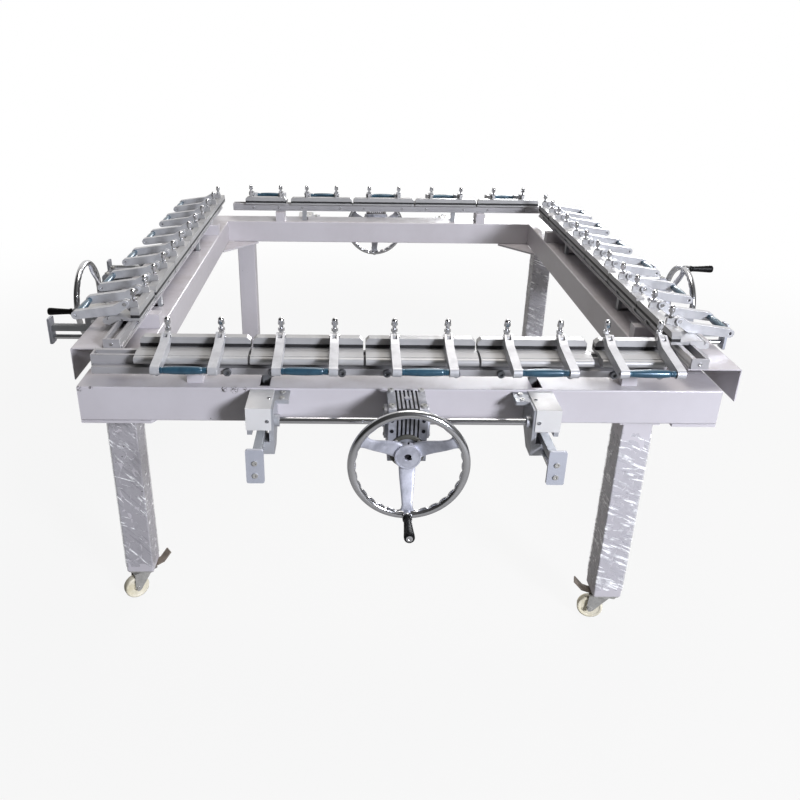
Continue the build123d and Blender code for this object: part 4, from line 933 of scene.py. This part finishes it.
def film_rise(along, up, share, hem, seed):
    """How far the film stands off its leg: slanting folds, fine creases and a bunched hem."""
    fold = 1 - abs(noise.noise(Vector((along * 34 + up * 13, up * 21 - along * 9, seed)))) * 2.6
    crease = noise.noise(Vector((along * 120 + up * 60, up * 80, seed + 7)))
    bunch = noise.noise(Vector((along * 40, up * 170, seed + 3)))
    rise = 0.0016 * max(fold, 0) ** 3 + 0.0005 * crease
    near_corner = min(share, 1 - share) * 8
    return max(rise * min(1, near_corner) + hem * (0.0022 + 0.003 * bunch), 0.0)


def film_wrap(name, centre, low, high, paint, seed):
    """Film wound once round a leg, with slanting folds and a bunched upper hem."""
    path = film_path()
    count = len(path)
    rows = round((high - low) / FILM_ROW)
    points = []
    for row_index in range(rows + 1):
        up = low + (high - low) * row_index / rows
        hem = max(0.0, 1 - (high - up) / 0.05) + max(0.0, 1 - (up - low) / 0.02) * 0.4
        for number, (spot, normal, share) in enumerate(path):
            rise = film_rise(number * FILM_STEP, up, share, hem, seed)
            points.append((centre[0] + spot.x - normal.x * rise, centre[1] + spot.y - normal.y * rise, up))
    faces = []
    for row_index in range(rows):
        for number in range(count - 1):
            corner = row_index * count + number
            faces.append((corner, corner + 1, corner + count + 1, corner + count))
    mesh = bpy.data.meshes.new(name)
    mesh.from_pydata(points, [], faces)
    mesh.polygons.foreach_set("use_smooth", [True] * len(faces))
    made = piece(name, mesh, [paint], FRAME_BODY)


film_wrap("film_front_left", (-0.765, -0.825), 0.125, 0.674, FILM, 1.3)
film_wrap("film_front_right", (0.63, -0.935), 0.13, 0.66, DENSE_LIT_FILM, 4.1)
film_wrap("film_rear_right", (0.765, 0.825), 0.2, 0.674, DENSE_LIT_FILM, 8.6)


# Rails, jaws, racks and shafts


def rail_paint(low, high):
    """0 channel and end plates, 1 end screws; the base's bolts are made anew on its lip."""
    if max(high - low) > 30:
        return 0
    return 1 if high[0] - low[0] < 5 else None


def base_paint(centre, paint):
    """A rail's base plate, outside the outer wall, is painted as the frame is."""
    return 2 if paint == 0 and -RAIL_OUTER_WALL < centre.y < 0 and centre.z < 60 else paint


def jaw_paint(low, high):
    """0 aluminium, 1 rubber, 2 chrome, for the solids of a jaw row."""
    size = high - low
    if size[0] < 25:
        return 2
    return 1 if size[2] < 10 and size[1] < 30 else 0


def rack_paint(low, high):
    """0 rack, 1 rod, 2 end plate, 3 screw."""
    size = high - low
    if max(size) < 20:
        return 3
    if size[1] < 12:
        return 2
    return 1 if size[0] < 18 and size[2] < 18 else 0


def shaft_paint(low, high):
    """0 bar, 1 collars, pinions and worm wheel."""
    return 0 if high[0] - low[0] > 100 else 1


def dress_rail(side):
    """A side's sliding rail with its bolts, jaws, racks and cross shaft."""
    name, grain = side.name, side.grain
    across = "y" if grain == "x" else "x"
    carriage = f"carriage_{name}"
    dress(
        f"rail_{name}",
        [RAIL_METAL[grain], CHROME, FRAME_PAINT],
        by_size(30) if side.drive_out else rail_paint,
        0.0005,
        side=side,
        repaint=base_paint,
    )
    if not side.drive_out:
        lip = side.spots(side.bolt_places(LIP_INSET, LIP_LEVEL), (0, -1, 0))
        row(f"lip_bolts_{name}", RAIL_HEAD, lip, BOLT_STEEL, carriage)
    bolts = side.spots(side.bolt_places(BOLT_INSET, BOLT_LEVEL), (0, 1, 0))
    row(f"inner_bolts_{name}", BOLT, bolts, CHROME, carriage)
    jaws = [EXTRUSION[grain], RUBBER, CHROME]
    dress(f"jaws_{name}", jaws, jaw_paint, 0.0006, side=side)
    racks = [RACK_STEEL, BAR_STEEL[across], PLATE_STEEL, ZINC]
    dress(f"racks_{name}", racks, rack_paint, 0.0004, side=side)
    shaft = [BAR_STEEL[grain], BRACKET_STEEL]
    dress(f"cross_shaft_{name}", shaft, shaft_paint, 0.0005, side=side)


for side in SIDES:
    dress_rail(side)


# Clamp levers


def lever_paint(low, high):
    """0 lever casting, 1 pin; the handle is made anew."""
    size = high - low
    if size[0] > 60:
        return None
    return 1 if size[1] < 15 else 0


def handle_shape():
    """Turned handle: swelling barrel, two rings at its right end, narrow neck at each end."""
    half = HANDLE_HALF
    barrel = []
    for index in range(25):
        along = -half + 8 + (2 * half - 16) * index / 24
        swell = 1 - (along / (half - 4)) ** 2
        barrel.append((7.4 + 3.0 * max(swell, 0) ** 0.8, along))
    left = [(0, -half), (6.2, -half), (8.2, -half + 1), (8.2, -half + 6), (7.2, -half + 7)]
    right = [
        (7.0, half - 13),
        (8.0, half - 12),
        (8.0, half - 10.5),
        (7.0, half - 9.5),
        (8.2, half - 8),
        (8.2, half - 1),
        (6.2, half),
        (0, half),
    ]
    barrel = [spot for spot in barrel if spot[1] < half - 14]
    shape = Shape()
    shape.turned(left + barrel + right, Matrix.Rotation(pi / 2, 4, "Y"), 0, 36)
    return shape


HANDLE = handle_shape()
for side in SIDES:
    for number, (centre, _) in enumerate(side.jaws, start=1):
        node = f"clamp_levers_{side.name}_{number}"
        body = f"clamp_{side.name}_{number}"
        dress(node, [LEVER_METAL, CHROME], lever_paint, 0.0016, side=side)
        at = side.place @ Matrix.Translation((centre, -HANDLE_OUT, HANDLE_LEVEL))
        mesh = made_mesh(node, HANDLE, at, [HANDLE_BLUE], 40)
        piece(f"handle_{side.name}_{number}", mesh, [HANDLE_BLUE], body)


# Handwheels

HUB_FACE = 182.0
SPOKE_START, SPOKE_END = 24, 127
SPOKE_FOOT, SPOKE_SWEEP = 169, 50
CRANK = Matrix.Translation((CRANK_RADIUS, 0, 0))
# Paint numbers of a handwheel; the black one is also painted shade in the hub's bore.
CASTING, POLISHED, PLATED, BLACK_AND_BORE_SHADE = range(4)


def signed_power(value, power):
    """A power of the size, with the value's own sign."""
    return abs(value) ** power * (1 if value > 0 else -1)


def spoke(shape, angle):
    """A flat tapering spoke, from the hub's side, sweeping forward to the rim."""
    rings = []
    for step in range(15):
        t = step / 14
        sweep = 3 * t * t - 2 * t**3
        out = SPOKE_START + (SPOKE_END - SPOKE_START) * t
        flare = max(0, t - 0.84) / 0.16
        width = 20.5 - 8 * sweep + 6.5 * flare**2
        thick = 6.5 - 2.2 * t
        forward = SPOKE_FOOT + SPOKE_SWEEP * sweep
        ring = []
        for across, deep, _ in circle(1, 0, 24):
            ahead = forward + thick * signed_power(deep, 0.62)
            ring.append((out, width * signed_power(across, 0.4), ahead))
        rings.append(ring)
    shape.loft(rings, CASTING, Matrix.Rotation(angle, 4, "Z"))


def pin(radius, low, high):
    """The profile of a plain round pin."""
    return [(0, low), (radius, low), (radius, high), (0, high)]


def wheel_body():
    """Hub, spokes, crank boss and the worm's shaft, about the wheel's own axis, Z outward."""
    shape = Shape()
    hub = [
        (SHAFT_RADIUS + 0.1, 148),
        (22, 148),
        (24, 150),
        (24, 160),
        (32.5, 164),
        (32.5, 181.2),
        (31.2, 183),
        (28, 183),
        (27.2, HUB_FACE),
        (SHAFT_RADIUS + 0.1, HUB_FACE),
        (8.6, 181.2),
        (8.6, 172),
    ]
    shape.turned(hub, paint=CASTING, segments=64)
    # The black disc at the bottom of the hub's bore and the black key block at its edge are painted shade
    # in the bore and its keyway.
    shape.turned([(0, 171), (8.5, 171), (8.5, 174), (7.8, 174.8), (0, 174.8)], paint=BLACK_AND_BORE_SHADE)
    key = [(-2.5, 5), (2.5, 5), (2.5, 11.2), (-2.5, 11.2)]
    shape.prism(key, 173, HUB_FACE + 0.3, Matrix.Rotation(-0.5, 4, "Z"), BLACK_AND_BORE_SHADE)
    shape.turned(pin(SHAFT_RADIUS, 35.5, 160), paint=PLATED)
    shape.turned(pin(2.6, 184.5, 187.6), Matrix.Translation((-41, 0, 0)), BLACK_AND_BORE_SHADE, 12)
    worm = [(SHAFT_RADIUS, 57), (12.5, 57), (12.5, 117), (SHAFT_RADIUS, 117)]
    shape.turned(worm, paint=PLATED)
    for index in range(3):
        spoke(shape, 2 * pi * index / 3)
    boss = [(0, 214), (12.6, 214), (12.6, 232), (10.5, 237), (7.5, 239.6), (0, 239.6)]
    shape.turned(boss, CRANK, POLISHED)
    shape.turned(pin(4.9, 239, 318.5), CRANK, PLATED, 16)
    return shape


def grip_shape():
    """Turned grip with a flared foot, a slow swell and a rolled end that holds a dished screw."""
    foot = [(5.05, 240), (11, 240), (11.6, 241), (11.6, 245), (10.2, 248), (9.6, 252)]
    swell = [(9.6 + 2.9 * (index / 12) ** 1.3, 252 + 54 * (index / 12)) for index in range(13)]
    end = [(12.9, 309), (13, 313), (13, 319), (12.2, 322.5), (10.5, 324.4)]
    dish = [(9, 324.4), (8.2, 323.6), (0, 323.6)]
    screw = [(0, 323), (8.0, 323), (7.9, 324.0), (6.4, 324.4), (3.4, 324.4), (2.6, 323.8), (0, 323.8)]
    shape = Shape()
    shape.turned(foot + swell + end + dish, CRANK, 0, 40)
    shape.turned(screw, CRANK, 1)
    return shape


RIM = rim_tree()
WHEEL = wheel_body()
GRIP = grip_shape()
WHEEL_PAINTS = [WHEEL_CAST, WHEEL_CHROME, CHROME, SCREW_BLACK_AND_SHADE]
GRIP_PAINTS = [GRIP_BLACK, CHROME]
for side in SIDES:
    name = side.name
    node = f"handwheel_{name}"
    axis = side.drive_axis() @ Matrix.Rotation(side.grip_angle, 4, "Z")
    mesh = grown("rim", RIM, bpy.data.meshes.new("rim"), {"Material": WHEEL_CHROME})
    mesh.transform(axis @ Matrix.Scale(1000, 4) @ Matrix.Translation((0, 0, RIM_OUT / 1000)))
    mesh.polygons.foreach_set("use_smooth", [True] * len(mesh.polygons))
    piece(f"wheel_rim_{name}", mesh, [WHEEL_CHROME], node, [node])
    mesh = made_mesh("wheel", WHEEL, axis, WHEEL_PAINTS, 32)
    piece(f"wheel_body_{name}", mesh, WHEEL_PAINTS, node, [node])
    mesh = made_mesh("grip", GRIP, axis, GRIP_PAINTS, 32)
    piece(f"grip_{name}", mesh, GRIP_PAINTS, f"grip_{name}", [f"wheel_grip_{name}"])


# Castors


def nylon_wheel():
    """Nylon tyre with a rounded tread and a recessed hub on each face."""
    half = [
        (4.05, 13),
        (9, 13),
        (10.5, 12.2),
        (12, 9.4),
        (26, 9.0),
        (28.5, 10.6),
        (31, 12),
        (34, 12.2),
        (36.4, 10.4),
        (TYRE_RADIUS, 7),
        (TYRE_RADIUS, 0),
    ]
    profile = half + [(radius, -height) for radius, height in half[-2::-1]]
    shape = Shape()
    shape.turned(profile + [profile[0]], Matrix.Rotation(pi / 2, 4, "X"), 0, 64)
    return shape


def castor_paint(low, high):
    """0 fork, 1 brake pedal."""
    return 1 if low[2] > 80 else 0


NYLON_WHEEL = nylon_wheel()
for side in SIDES:
    name = side.name
    dress(f"castor_fork_{name}", [ZINC, PEDAL], castor_paint, 0.0005)
    swivel = side.place @ Matrix.Translation((side.leg_centre, CASTOR_INSET, -1000 * BEAM_TOP))
    axle = (
        Matrix.Translation(swivel.translation)
        @ Matrix.Rotation(side.castor_turn, 4, "Z")
        @ Matrix.Scale(0.001, 4)
        @ Matrix.Translation((CASTOR_TRAIL, 0, TYRE_RADIUS))
    )
    mesh = made_mesh("tyre", NYLON_WHEEL, axle, [NYLON], 50)
    piece(f"tyre_{name}", mesh, [NYLON], f"castor_wheel_{name}", [f"castor_wheel_{name}"])


# Stage, light and camera

FLOOR_REACH = 30
FLOOR_TONE = (150, 149, 147)
ROOM_TINT = (1.0, 0.985, 0.97, 1)
PHOTO_WIDTH = 800               # the photograph's own pixels, as are the next two
FOCAL_LENGTH = 791.26
OPTICAL_CENTRE = (360.8, 396.3)
CAMERA_PLACE = (-0.1329, -2.826, 1.6237)
PITCH, YAW, ROLL = 0.439, 0.016, 0.014
SENSOR_WIDTH = 36
AIM = (0, 0, 0.7)


def make_stage():
    """A pale floor that fades to white far from the machine."""
    mesh = bpy.data.meshes.new("floor")
    ways = ((-1, -1), (1, -1), (1, 1), (-1, 1))
    mesh.from_pydata([(x * FLOOR_REACH, y * FLOOR_REACH, 0) for x, y in ways], [], [[0, 1, 2, 3]])
    s = Shader("pale_floor")
    away = s.node("ShaderNodeVectorMath", {"operation": "LENGTH"}, [s.place], "Value")
    lit = s.node("ShaderNodeBsdfDiffuse", inputs={"Color": as_colour(FLOOR_TONE)})
    glow = s.node("ShaderNodeEmission", inputs={"Strength": 1.0})
    share = s.ray("Camera") * (0.9 + away.ramp(1.6, 4.5) * 0.1) + s.ray("Glossy") * 0.06
    mesh.materials.append(s.end(s.node("ShaderNodeMixShader", inputs=[share, lit, glow])))
    added("floor", mesh)


def make_world():
    """White behind the machine, and a soft room round it: darker to the left, lighter at the rear."""
    world = bpy.data.worlds.new("room")
    bpy.context.scene.world = world
    s = Shader("room", world)
    x, y, z = (s.axis(number) for number in range(3))
    soft = x.ramp(-0.9, 0.6, 0.03, 0.15) * z.ramp(0.0, 0.9, 0.8, 1.1)
    strength = s.ray("Glossy") * y.ramp(0.05, 0.75, 0.0, 0.3) + soft + y.ramp(0.0, 0.8, 0.0, 0.5)
    room = s.node("ShaderNodeBackground", inputs={"Color": ROOM_TINT, "Strength": strength})
    white = s.node("ShaderNodeBackground", inputs={"Color": (1, 1, 1, 1)})
    mixed = s.node("ShaderNodeMixShader", inputs=[s.ray("Camera"), room, white])
    s.end(mixed, "ShaderNodeOutputWorld")


def soft_light(name, place, size, power, tint):
    """A rectangular lamp aimed at the machine's middle."""
    lamp = bpy.data.lights.new(name, "AREA")
    lamp.shape = "RECTANGLE"
    lamp.size, lamp.size_y = size
    lamp.energy = power
    lamp.color = tint
    made = added(name, lamp)
    made.location = place
    made.rotation_euler = (Vector(AIM) - Vector(place)).to_track_quat("-Z", "Y").to_euler()


def make_camera():
    """The photograph's viewpoint, solved from the frame's straight edges."""
    forward = Vector((sin(YAW) * cos(PITCH), cos(YAW) * cos(PITCH), -sin(PITCH)))
    level = Vector((cos(YAW), -sin(YAW), 0))
    upright = level.cross(forward)
    right = cos(ROLL) * level + sin(ROLL) * upright
    up = cos(ROLL) * upright - sin(ROLL) * level
    turn = Matrix((right, up, -forward)).transposed().to_4x4()
    lens = bpy.data.cameras.new("camera")
    lens.sensor_width = SENSOR_WIDTH
    lens.lens = FOCAL_LENGTH / PHOTO_WIDTH * SENSOR_WIDTH
    lens.shift_x = (PHOTO_WIDTH / 2 - OPTICAL_CENTRE[0]) / PHOTO_WIDTH
    lens.shift_y = (OPTICAL_CENTRE[1] - PHOTO_WIDTH / 2) / PHOTO_WIDTH
    made = added("camera", lens)
    made.matrix_world = Matrix.Translation(CAMERA_PLACE) @ turn
    bpy.context.scene.camera = made


make_stage()
make_world()
soft_light("key", (3.3, -5.4, 3.0), (1.3, 1.0), 490, (0.9, 0.92, 1.0))
soft_light("top", (0.6, 0.5, 4.2), (2.2, 2.2), 85, (1.0, 0.95, 0.9))
soft_light("rear", (2.2, 6.0, 2.2), (2.4, 1.6), 230, (0.97, 0.98, 1.0))
make_camera()
bpy.context.scene.view_settings.view_transform = "Standard"
